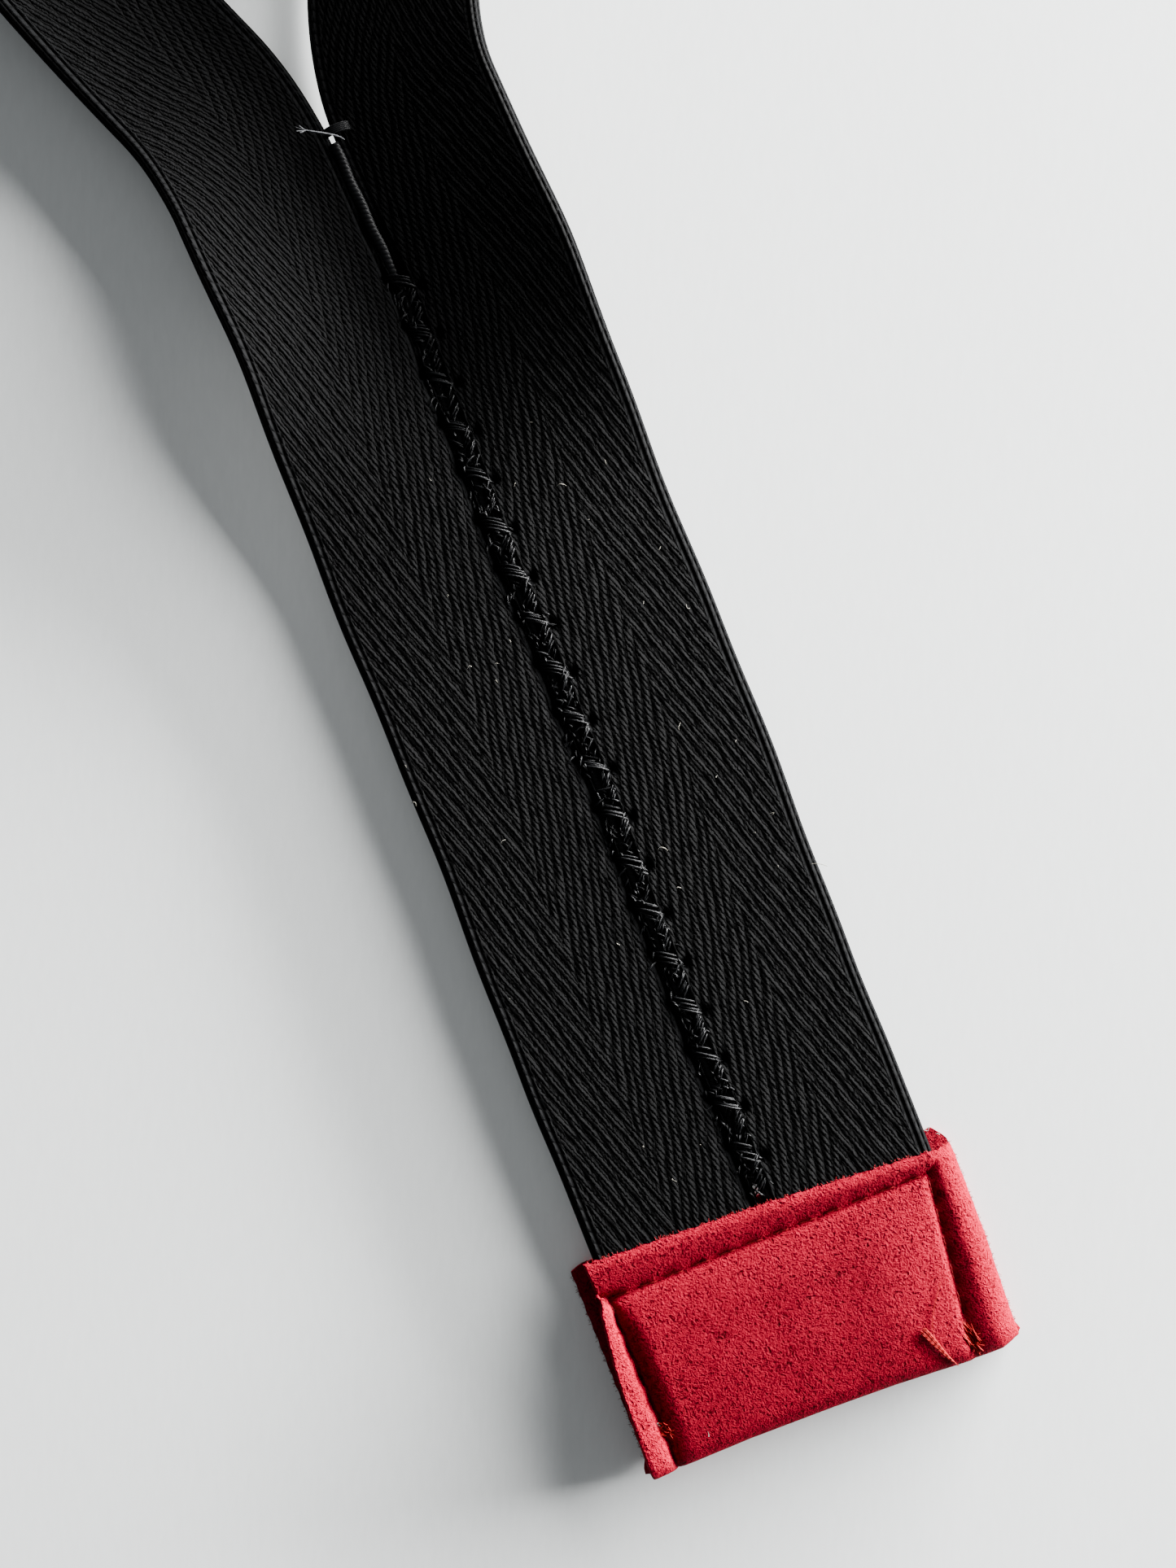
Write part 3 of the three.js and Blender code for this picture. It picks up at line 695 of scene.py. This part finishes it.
def seamClusters(threads, starts, under, rng):
    face = strap["underside"] if under else strap["top"]
    out = -0.6 if under else 1

    def stitch(points, top, thickness=1.0):
        placed = []
        for x, down, lift in points:
            y = top - down
            centre = bandSway(np.array(y)) + seam["offset"]
            placed.append((centre + x, y, face + out * lift))
        radius = seam["threadRadius"] * thickness
        addThread(threads, bezier(placed, 9), radius, sides=7, taper=0.7, turns=rng.random())

    for start in starts:
        for step in range(seam["crossings"]):  # long strands, falling to the right
            down = 0.45 * step + rng.normal(0, 0.2)
            lift = 0.35 + 0.08 * step + rng.normal(0, 0.12)
            stitch([
                (-1.9, down, -0.9),
                (-1.2, down + 0.1 + rng.normal(0, 0.2), lift - 0.4),
                (0.3, down + 1.1 + rng.normal(0, 0.25), lift),
                (1.5, down + 2.0, lift - 0.3),
                (2.0, down + 2.3, -0.9),
            ], start, 1.0 + rng.normal(0, 0.08))
        for step in range(seam["fan"]):  # short strands, falling to the left
            down = 2.3 + 0.5 * step + rng.normal(0, 0.2)
            short = 1.1 * rng.random() - 0.2
            lift = 0.15 + rng.normal(0, 0.18)
            stitch([
                (1.9, down - 0.3, -0.9),
                (1.5, down, lift),
                (0.4 + short / 2, down + 0.9, lift + 0.2),
                (-0.5 + short, down + 1.9, lift - 0.4),
                (-0.9 + short, down + 2.2, -0.9),
            ], start, 0.9 + rng.normal(0, 0.1))
        for step in range(seam["fill"]):  # loose loops between them
            x, down = rng.uniform(-2.0, 1.3), rng.uniform(0.8, 7.6)
            slant, tall = rng.normal(0.2, 0.9), rng.uniform(0.5, 1.5)
            lift = 0.05 + rng.normal(0, 0.16)
            stitch([
                (x, down, -0.5),
                (x + slant * 0.3, down + tall * 0.2, lift),
                (x + slant * 0.8, down + tall * 0.8, lift),
                (x + slant, down + tall, -0.5),
            ], start, 0.85 + rng.normal(0, 0.1))
    high = 177 if starts[0] == seam["start"] else starts[0] + 0.6
    lows = np.arange(high, starts[-1] - seam["pitch"] + 0.4, -0.5)
    shift = 0.08 * np.sin(lows / 1.1)
    sink = 1.55 + 0.6 * smoothStep(lows, 154, 161)
    core = np.column_stack([bandSway(lows) + shift, lows, face - out * sink])
    addThread(threads, core, 0.95, sides=12, taper=0.8)


def makeSeam():
    for word, under, seed in (("needle", False, 11), ("bobbin", True, 12)):
        rng = np.random.default_rng(seed)
        lowerThreads, upperThreads = newThreads(), newThreads()
        isUpper = clusterStarts - seam["pitch"] / 2 > weave["split"]
        seamClusters(upperThreads, clusterStarts[isUpper], under, rng)
        isLower = ~isUpper & (clusterStarts > (seam["lastUnder"] if under else seam["lastOver"]))
        seamClusters(lowerThreads, clusterStarts[isLower], under, rng)
        lower = threadPiece(f"seam_{word}_stitches_lower", lowerThreads)
        upper = threadPiece(f"seam_{word}_stitches_upper", upperThreads)
        for piece in (lower, upper):
            piece.data.materials.append(seamBlack)
        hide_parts(f"seam_{word}_thread_tab", f"seam_{word}_thread_run")
        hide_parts(f"seam_{word}_thread_run", f"seam_{word}_thread_yoke")
        bendAtFolds(lower, upper)


makeSeam()
print("seam stitched")


tab = {
    "frontTop": ((-26.6, 0, 28), (17.3, 16.1, 14.1)),  # x, y of the front's cut edge
    "backTop": ((-28.8, -26, 24, 26.3, 28), (16.2, 16.9, 16.4, 16.7, 14.4)),
    "bottom": (
        (-28.7, -24, -13, 0, 9, 15, 20, 25, 27.3),
        (-14.5, -14.5, -14.3, -14.5, -14.8, -15.2, -15.6, -15.6, -15.0),
    ),
    "leftReach": (  # y, reach
        (-14.5, -5.2, 2.3, 10, 11.3, 12.5, 17.3),
        (28.7, 28.4, 27.9, 26.9, 26.4, 26.5, 26.7),
    ),
    "rightReach": ((-14.5, -11, -5, 0, 12, 14.1), (27.1, 27.2, 27.5, 27.8, 27.95, 27.9)),
    "backLeftReach": 28.75,
    "suede": 0.84,
    "furrow": 3.95,  # height at the bottom of the stitched furrow
    "shoulder": 0.75,  # the pad's steep first rise
    "dome": 0.85,
    "domeReach": (3.4, 11.0, 8.0, 14.0),  # left, right, top, bottom
    "leftRidge": 1.7,
    "rightRidge": 0.8,
    "topRidge": 0.95,
    "edgeHeight": 1.75,
    "foldReach": 2.6,
    "stitchTop": 11.5,
    "stitchTopReach": (24.9, 23.1),
    "stitchBottomReach": (24.5, 20.0),
    "stitchBottom": -12.4,
    "stitchLength": 4.0,
    "foldRows": 14,
    "coarse": 0.42,  # mm between the mesh's rows where nothing bends
}


def stitchReach(side, y):
    pick = 0 if side < 0 else 1
    share = (y - tab["stitchBottom"]) / (tab["stitchTop"] - tab["stitchBottom"])
    low, high = tab["stitchBottomReach"][pick], tab["stitchTopReach"][pick]
    return low + (high - low) * share


def domeRise(distance, reach):
    return 1 - (1 - np.clip(distance / reach, 0, 1)) ** 2


def coverHeight(x, y):
    left, right = -stitchReach(-1, y), stitchReach(1, y)
    toLeft, toRight, toTop = x - left, right - x, tab["stitchTop"] - y
    toBottom = y - np.interp(x, *tab["bottom"])
    nearest = np.minimum(np.minimum(toLeft, toRight), toTop)
    along = np.where(toTop < np.minimum(toLeft, toRight), x, y)
    pull = np.cos(2 * math.pi * along / tab["stitchLength"])  # each stitch dimples the furrow
    edge = nearest + 0.1 * pull * np.exp(-np.abs(nearest) / 1.2)
    rise = 1 - np.exp(-np.maximum(edge, 0) / 0.33)
    reaches = tab["domeReach"]
    dome = domeRise(toLeft, reaches[0]) * domeRise(toRight, reaches[1])
    dome = dome * domeRise(toTop, reaches[2]) * domeRise(toBottom + 1.5, reaches[3])
    height = tab["furrow"] + tab["shoulder"] * rise + tab["dome"] * dome * (nearest > 0)
    past = np.maximum(-edge, 0)
    isTop = toTop < np.minimum(toLeft, toRight)
    isLeft = (toLeft < toRight) & ~isTop
    lean = 0.24 * np.minimum(past, 3) * isLeft
    ridge = np.where(isTop, tab["topRidge"], np.where(isLeft, tab["leftRidge"], tab["rightRidge"]))
    soften = np.where(isLeft, 0.45, np.where(isTop, 0.9, 1.5))
    height = height + ridge * (1 - np.exp(-past / soften)) + lean
    height = height - 0.1 * pull * np.exp(-(nearest / 0.5) ** 2)
    crease = np.exp(-((y - tab["stitchTop"] - 0.1) / 0.8) ** 2 - ((x + 26) / 2.2) ** 2)
    height = height - 0.8 * crease
    cutEdge = np.interp(x, *tab["frontTop"]) - y
    height = height - 0.5 * np.clip(1 - cutEdge / 1.6, 0, 1) ** 2
    roomLeft = x + np.interp(y, *tab["leftReach"])
    roomRight = np.interp(y, *tab["rightReach"]) - x
    dropLeft = np.clip(1 - roomLeft / 0.5, 0, 1)
    dropRight = np.clip(1 - roomRight / 3.9, 0, 1)
    roll = np.sqrt(1 - dropLeft ** 2.0) * np.sqrt(1 - dropRight ** 2.3)
    waves = 0.02 * np.sin(x / 2.9 + y / 4.1) * np.sin(y / 2.7 - x / 4.9)
    waves = waves + 0.008 * np.sin(x / 0.9 + 1) * np.sin(y / 1.1)
    height = height + waves * smoothStep(np.abs(nearest), 0.2, 1.5)
    return tab["edgeHeight"] + (height - tab["edgeHeight"]) * roll


def spacedShares(total, zones, coarse):  # fine steps inside the zones, coarse steps between
    places = [0.0]
    while places[-1] < total:
        step = next((fine for low, high, fine in zones if low <= places[-1] < high), coarse)
        places.append(places[-1] + step)
    return np.array(places) / places[-1]


def makeCover():
    acrossZones = [(0, 1.4, 0.1), (1.4, 6, 0.22), (30, 36, 0.3), (44, 51.5, 0.22), (51.5, 56, 0.14)]
    across = spacedShares(55.0, acrossZones, tab["coarse"])
    down = spacedShares(30.0, [(0, 2, 0.18), (2, 8, 0.22)], tab["coarse"])
    guess = -28 + 56 * across
    bottomY = np.interp(guess, *tab["bottom"])
    foldY = bottomY + tab["foldReach"]
    frontTop = np.interp(guess, *tab["frontTop"]) + 0.06 * np.sin(guess * 1.9) + 0.05 * np.sin(guess * 4.3)
    backTop = np.interp(guess, *tab["backTop"]) + 0.05 * np.sin(guess * 2.1 + 1)

    def frontAcross(y):
        left, right = -np.interp(y, *tab["leftReach"]), np.interp(y, *tab["rightReach"])
        wander = 0.05 * np.sin(y * 1.7) + 0.03 * np.sin(y * 4.3)
        return left + wander + (right - left) * across

    rows = []
    for share in down[:-1]:
        y = frontTop + (foldY - frontTop) * share
        x = frontAcross(y)
        rows.append(np.stack([x, y, coverHeight(x, y)], axis=-1))
    x = frontAcross(foldY)
    foldHeight = coverHeight(x, foldY)
    for row in range(tab["foldRows"] + 1):
        angle = math.pi * row / tab["foldRows"]
        y = foldY - tab["foldReach"] * math.sin(angle)
        z = foldHeight / 2 * (1 + math.cos(angle))
        rows.append(np.stack([x, y, z], axis=-1))
    for share in down[::-1][1:]:
        y = foldY + (backTop - foldY) * (1 - share)
        x = frontAcross(y)
        left = -tab["backLeftReach"] + 0.05 * np.sin(y * 2.3)
        x = left + (x - x[0]) * (x[-1] - left) / (x[-1] - x[0])
        rows.append(np.stack([x, y, 0 * y], axis=-1))
    vertices = np.stack(rows)
    count, columns = vertices.shape[:2]
    index = np.arange(count * columns).reshape(count, columns)
    quads = np.stack([index[:-1, :-1], index[1:, :-1], index[1:, 1:], index[:-1, 1:]], axis=-1).reshape(-1, 4)
    cover = makeMesh("tab_suede_cover", vertices.reshape(-1, 3), quads.tolist())
    wall = cover.modifiers.new("suedeThickness", "SOLIDIFY")
    wall.thickness = tab["suede"] * mm
    wall.offset = -1
    bpy.context.view_layer.objects.active = cover
    cover.select_set(True)
    bpy.ops.object.modifier_apply(modifier=wall.name)
    bpy.ops.object.shade_smooth_by_angle(angle=math.radians(50))
    cover.select_set(False)
    return cover


def napGroup():  # short worm-like nap: pits, ridges and fibre tips; the tone paints shade into the pits
    tree, given, result = newGroup(
        "suedeNap",
        [
            ("Place", "NodeSocketVector", None),
            ("Grain", "NodeSocketFloat", 1.0),
        ],
        [("Height", "NodeSocketFloat"), ("Tone", "NodeSocketFloat")],
    )
    sockets = {0: given["Place"], "Scale": 1 / mm}
    place = addNode(tree, "ShaderNodeVectorMath", sockets, operation="SCALE").outputs[0]
    worms = scaledNoise(tree, place, given["Grain"], 2.5, 0.55, 0.9)
    offCentre = calc(tree, "ABSOLUTE", minus(tree, worms, 0.5))
    ridges = minus(tree, 1.0, times(tree, offCentre, 5.5))
    fine = scaledNoise(tree, place, times(tree, given["Grain"], 2.6), 2, 0.6, 0.6)
    pits = times(tree, minus(tree, fine, 0.5), 1.6)
    height = plus(tree, times(tree, ridges, 0.6), pits)
    cloudy = scaledNoise(tree, place, times(tree, given["Grain"], 0.16), 2)
    tree.links.new(height, result["Height"])
    patches = times(tree, minus(tree, cloudy, 0.5), 0.3)
    # painted shade: the tone darkens with the nap's height, so the pits read as shaded; the cloudy patches are
    # the suede's own uneven tone
    tone = plus(tree, ramp(tree, height, -0.35, 0.95), patches, clamp=True)
    tree.links.new(tone, result["Tone"])
    return tree


suedeNap = napGroup()


def suedeMaterial():
    material, tree, shader = newMaterial("redSuede", {
        "Roughness": 0.85,
        "Specular IOR Level": 0.04,
        "Specular Tint": (1.0, 0.2, 0.3, 1),
    })
    place = addNode(tree, "ShaderNodeTexCoord").outputs["Object"]
    group = addNode(tree, "ShaderNodeGroup", node_tree=suedeNap)
    tree.links.new(place, group.inputs["Place"])
    group.inputs["Grain"].default_value = 1.15
    colour = mixColour(tree, group.outputs["Tone"], (0.05, 0.0001, 0.002, 1), (0.205, 0.0006, 0.012, 1))
    tree.links.new(colour, shader.inputs["Base Color"])
    addBump(tree, shader, group.outputs["Height"], 0.2)
    return material


redSuede = suedeMaterial()


def makeFuzz(name, places, length, radius, material, rng):  # short curved hairs
    hairs = newThreads()
    for x, y, z, headX, headY in places:
        heading = np.array((headX, headY, rng.uniform(-0.1, 0.5)))
        heading = heading / np.linalg.norm(heading) * length * rng.uniform(0.5, 1.3)
        bend = rng.normal(0, 0.25, 3) * length
        start = np.array((x, y, z))
        route = [start, start + heading / 2 + bend, start + heading]
        addThread(hairs, bezier(route, 5), radius, sides=4, taper=0.5)
    piece = threadPiece(name, hairs)
    piece.data.materials.append(material)
    return piece


coverLint = [  # x, y, z and heading of each pale hair
    (-25.4, -7.0, 5.0, 1, 0.3),
    (-25.1, -7.2, 5.1, 1, -0.2),
    (25.4, 16.2, 0.95, 1, 1),
    (25.8, 16.4, 0.95, -1, 0.6),
    (-18.9, -11.0, 5.75, 0.3, 1),
    (26.6, 15.6, 0.95, 1, -0.8),
]


def makeTab():
    cover = makeCover()
    cover.data.materials.append(redSuede)
    if not cover.data.uv_layers:
        cover.data.uv_layers.new(name="weave")
    rng = np.random.default_rng(5)
    places = []
    for x in rng.uniform(-26, 27.5, 150):
        y = float(np.interp(x, *tab["frontTop"]))
        z = float(coverHeight(np.array(x), np.array(y - 0.1))) - rng.uniform(0, 0.8)
        places.append((x, y - 0.1, z, rng.normal(0, 0.6), 1))
    for y in rng.uniform(-13, 14, 110):
        right = float(np.interp(y, *tab["rightReach"]))
        places.append((right - 0.05, y, rng.uniform(0.2, 1.6), 1, rng.normal(0, 0.7)))
    for y in rng.uniform(-12, 15.8, 90):
        places.append((-tab["backLeftReach"] + 0.05, y, rng.uniform(0.1, 0.8), -1, rng.normal(0, 0.7)))
    joinInto(cover, makeFuzz("coverFuzz", places, 0.45, 0.035, stitchRed, rng))
    joinInto(cover, makeFuzz("coverLint", coverLint, 1.0, 0.06, lintPale, rng))
    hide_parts("tab_cover")
    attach(cover, "tab")


makeTab()
print("tab cover folded")


def makePad():
    low, high = np.array((-22.3, -12.0)), np.array((19.3, 9.9))
    steps = np.linspace(-1, 1, 41)
    u, v = np.meshgrid(np.sin(steps * math.pi / 2), np.sin(np.linspace(-1, 1, 29) * math.pi / 2))
    x = (low[0] + high[0]) / 2 + u * (high[0] - low[0]) / 2
    y = (low[1] + high[1]) / 2 + v * (high[1] - low[1]) / 2
    swell = np.sqrt(np.clip(1 - u ** 4, 0, 1) * np.clip(1 - v ** 4, 0, 1))
    bottomZ = strap["top"] + 0.06
    top = bottomZ + 0.1 + np.maximum(coverHeight(x, y) - tab["suede"] - bottomZ - 0.2, 0.05) * swell
    rows, columns = x.shape
    index = np.arange(rows * columns).reshape(rows, columns)
    layers = [np.stack([x, y, z], -1).reshape(-1, 3) for z in (top, 0 * x + bottomZ)]
    vertices = np.vstack(layers)
    upper = np.stack([index[:-1, :-1], index[:-1, 1:], index[1:, 1:], index[1:, :-1]], -1).reshape(-1, 4)
    lower = upper[:, ::-1] + rows * columns
    rim = np.concatenate([index[0], index[1:, -1], index[-1, -2::-1], index[-2:0:-1, 0]])
    after = np.roll(rim, -1)
    walls = np.stack([rim, rim + rows * columns, after + rows * columns, after], -1)
    pad = makeMesh("tab_inner_pad", vertices, np.vstack([upper, lower, walls]).tolist())
    material, tree, shader = newMaterial("padFelt", {"Roughness": 0.95, "Specular IOR Level": 0.1})
    place = addNode(tree, "ShaderNodeTexCoord").outputs["Object"]
    felt = scaledNoise(tree, place, 1400, 4, 0.65, 0.8)
    colour = mixColour(tree, felt, (0.12, 0.115, 0.1, 1), (0.3, 0.29, 0.26, 1))
    tree.links.new(colour, shader.inputs["Base Color"])
    addBump(tree, shader, felt, 0.2)
    pad.data.materials.append(material)
    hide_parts("tab_pad")
    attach(pad, "tab")


makePad()
print("pad placed")


def stitchLine():
    return [
        (-stitchReach(-1, tab["stitchBottom"]), tab["stitchBottom"]),
        (-stitchReach(-1, tab["stitchTop"]), tab["stitchTop"]),
        (stitchReach(1, tab["stitchTop"]), tab["stitchTop"]),
        (stitchReach(1, tab["stitchBottom"]), tab["stitchBottom"]),
    ]


def makeTopstitch():
    needle, bobbin = newThreads(), newThreads()
    rng = np.random.default_rng(21)
    corners = stitchLine()
    for first, last in zip(corners, corners[1:]):
        first, last = np.array(first), np.array(last)
        count = int(round(np.linalg.norm(last - first) / tab["stitchLength"]))
        for step in range(count):
            share = np.linspace(step + 0.05, step + 0.95, 9) / count
            flat = first + (last - first) * share[:, None]
            lift = np.array([-0.4, -0.16, -0.04, 0.0, 0.01, 0.0, -0.04, -0.16, -0.4])
            height = coverHeight(flat[:, 0], flat[:, 1])
            addThread(needle, np.column_stack([flat, height + lift]), 0.16, taper=0.8, turns=rng.random())
            sunk = np.array([0.4, 0.16, 0.12, 0.11, 0.11, 0.11, 0.12, 0.16, 0.4])
            addThread(bobbin, np.column_stack([flat, sunk]), 0.13, taper=0.8, turns=rng.random())
    for name, threads in (("needle", needle), ("bobbin", bobbin)):
        piece = threadPiece(f"tab_topstitch_{name}", threads)
        dress(piece, stitchRed, f"tab_topstitch_{name}_thread", "tab")


def makeBacktacks():  # the stitch line's two ends, sewn to and fro
    for word, centreX, centreY, tall, seed in (("left", -24.3, -8.3, 1.5, 31), ("right", 20.4, -12.2, 2.6, 32)):
        rng = np.random.default_rng(seed)
        tuft = newThreads()
        for strand in range(16):
            x = centreX + rng.normal(0, 0.35)
            y = centreY + rng.uniform(-tall, tall) * 0.6
            points = []
            for share in np.linspace(0, 1, 4):
                spotX = x + rng.normal(0, 0.22) + (share - 0.5) * 0.7
                spotY = y + (0.5 - share) * tall * 0.9 + rng.normal(0, 0.1)
                z = float(coverHeight(np.array(spotX), np.array(max(spotY, -13.2))))
                points.append((spotX, spotY, z + (0.3 * math.sin(math.pi * share) - 0.08)))
            addThread(tuft, bezier(points, 9), rng.uniform(0.1, 0.17), sides=6, taper=0.5, turns=rng.random())
        for strand in range(9):  # frayed ends
            x, y = centreX + rng.normal(0.2, 0.4), centreY + rng.uniform(-tall, tall) * 0.6
            z = float(coverHeight(np.array(x), np.array(max(y, -13.2))))
            away = rng.normal(0, 0.8, 2)
            middle = (x + away[0] / 2, y + away[1] / 2, z + 0.5)
            ends = [(x, y, z), middle, (x + away[0], y + away[1], z + rng.uniform(0.1, 0.5))]
            addThread(tuft, bezier(ends, 6), 0.05, sides=4, taper=0.4)
        piece = threadPiece(f"tab_backtack_tuft_{word}", tuft)
        dress(piece, tuftRed, f"tab_backtack_{word}", "tab")


def makeTabTail():  # loose end that lies over the pad, thick where it's frayed
    rng = np.random.default_rng(41)
    tail = newThreads()
    for strand in range(9):
        spread = (strand - 4) * 0.11
        start = (14.4 + spread, -8.3 + rng.normal(0, 0.15))
        route = [start, (15.2 + spread, -10.2), (15.8 + spread * 0.5, -12.5), (17.3, -15.2)]
        flat = bezier(route, 16)
        z = coverHeight(flat[:, 0], np.maximum(flat[:, 1], -12.6)) + 0.14 + 0.06 * rng.random()
        z = z - 1.1 * np.clip((-12.6 - flat[:, 1]) / 2.6, 0, 1) ** 2
        addThread(tail, np.column_stack([flat, z]), 0.1, sides=6, taper=0.6, turns=rng.random())
    wisp = bezier([(15.6, -11.4), (15.0, -8.0), (17.4, -5.5), (19.2, -3.0)], 18)
    z = coverHeight(wisp[:, 0], wisp[:, 1]) + 0.12
    addThread(tail, np.column_stack([wisp, z]), 0.05, sides=5, taper=0.5)
    piece = threadPiece("tab_loose_tail", tail)
    dress(piece, tuftRed, "tab_thread_tail", "tab")


makeTopstitch()
makeBacktacks()
makeTabTail()
print("topstitch sewn")


def makeCrotch():
    rng = np.random.default_rng(51)
    tack, tail = newThreads(), newThreads()
    tackLow, tackHigh = (np.array(corner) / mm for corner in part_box("crotch_bar_tack"))
    y, z = (tackLow[1] + tackHigh[1]) / 2, tackHigh[2]
    for strand in range(5):
        row = y + (strand - 2) * 0.26
        ends = [
            (tackLow[0] * 0.9, row, z - 0.9),
            (tackLow[0] / 2, row, z - 0.1),
            (tackHigh[0] / 2, row + 0.1, z - 0.1),
            (tackHigh[0] * 0.9, row, z - 0.9),
        ]
        addThread(tack, bezier(ends, 9), 0.17, taper=0.8, turns=rng.random())
    piece = threadPiece("crotch_tack_stitches", tack)
    dress(piece, seamBlack, "crotch_bar_tack", "neck_loop")
    tailLow, tailHigh = (np.array(corner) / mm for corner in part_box("crotch_thread_tail"))
    top = tailHigh[2]
    end = np.array((-4.3, 179.4, top + 0.4))
    route = [(0.5, 176.4, z - 0.5), (0.1, 177.0, top + 0.4), (-2.2, 178.0, top + 0.5), (-4.3, 179.4, top + 0.35)]
    addThread(tail, bezier(route, 22), 0.12, sides=7, taper=0.7)
    for strand in range(6):
        away = rng.normal(0, 0.5, 3) + (-0.5, 0.3, 0.1)
        ends = [(-4.0, 179.2, top + 0.35), np.array((-4.2, 179.3, top + 0.4)) + away / 2, end + away]
        addThread(tail, bezier(ends, 7), 0.045, sides=4, taper=0.5)
    piece = threadPiece("crotch_loose_tail", tail)
    dress(piece, tailGrey, "crotch_thread_tail", "neck_loop")


makeCrotch()
print("crotch tacked")


stage = {
    "floorSize": 6.0,
    "from": (0.96, 0.28),  # plan direction of the window
    "distance": 1.1,
    "wide": 1.5,
    "lights": (("window", 0.5, 115), ("lowWindow", 0.16, 400)),  # name, height, power
    "fill": 0.24,
}


def addFloor():
    bpy.ops.mesh.primitive_plane_add(size=stage["floorSize"], location=(0, 0.2, -0.0001))
    floor = bpy.context.object
    floor.name = "floor"
    material, tree, shader = newMaterial("paleFloor", {"Roughness": 0.9, "Specular IOR Level": 0.1})
    place = addNode(tree, "ShaderNodeTexCoord").outputs["Object"]
    turn = (0, 0, math.radians(-view["turn"]))
    turned = addNode(tree, "ShaderNodeMapping", {"Vector": place, "Rotation": turn}).outputs[0]
    stretched = addNode(tree, "ShaderNodeMapping", {"Vector": turned, "Scale": (1100, 260, 1)}).outputs[0]
    slub = scaledNoise(tree, stretched, 1.0, 3, 0.6)
    colour = mixColour(tree, slub, (0.76, 0.785, 0.785, 1), (0.85, 0.875, 0.875, 1))
    tree.links.new(colour, shader.inputs["Base Color"])
    floor.data.materials.append(material)
    bpy.ops.object.select_all(action="DESELECT")


def addLights():
    planX, planY = stage["from"]
    for name, tall, power in stage["lights"]:
        data = bpy.data.lights.new(name, "AREA")
        data.shape = "RECTANGLE"
        data.size = stage["wide"]
        data.size_y = tall
        data.energy = power
        data.color = (1.0, 0.995, 0.985)
        window = bpy.data.objects.new(name, data)
        centreY = view["over"][1] * mm + planY * stage["distance"]
        window.location = (planX * stage["distance"], centreY, tall / 2)
        window.rotation_euler = (math.radians(90), 0, math.atan2(planY, planX) + math.radians(90))
        bpy.context.collection.objects.link(window)
    world = bpy.context.scene.world or bpy.data.worlds.new("studio")
    bpy.context.scene.world = world
    world.use_nodes = True
    background = world.node_tree.nodes["Background"]
    background.inputs[0].default_value = (0.95, 0.98, 1.0, 1)
    background.inputs[1].default_value = stage["fill"]


addFloor()
addLights()
print("stage set")
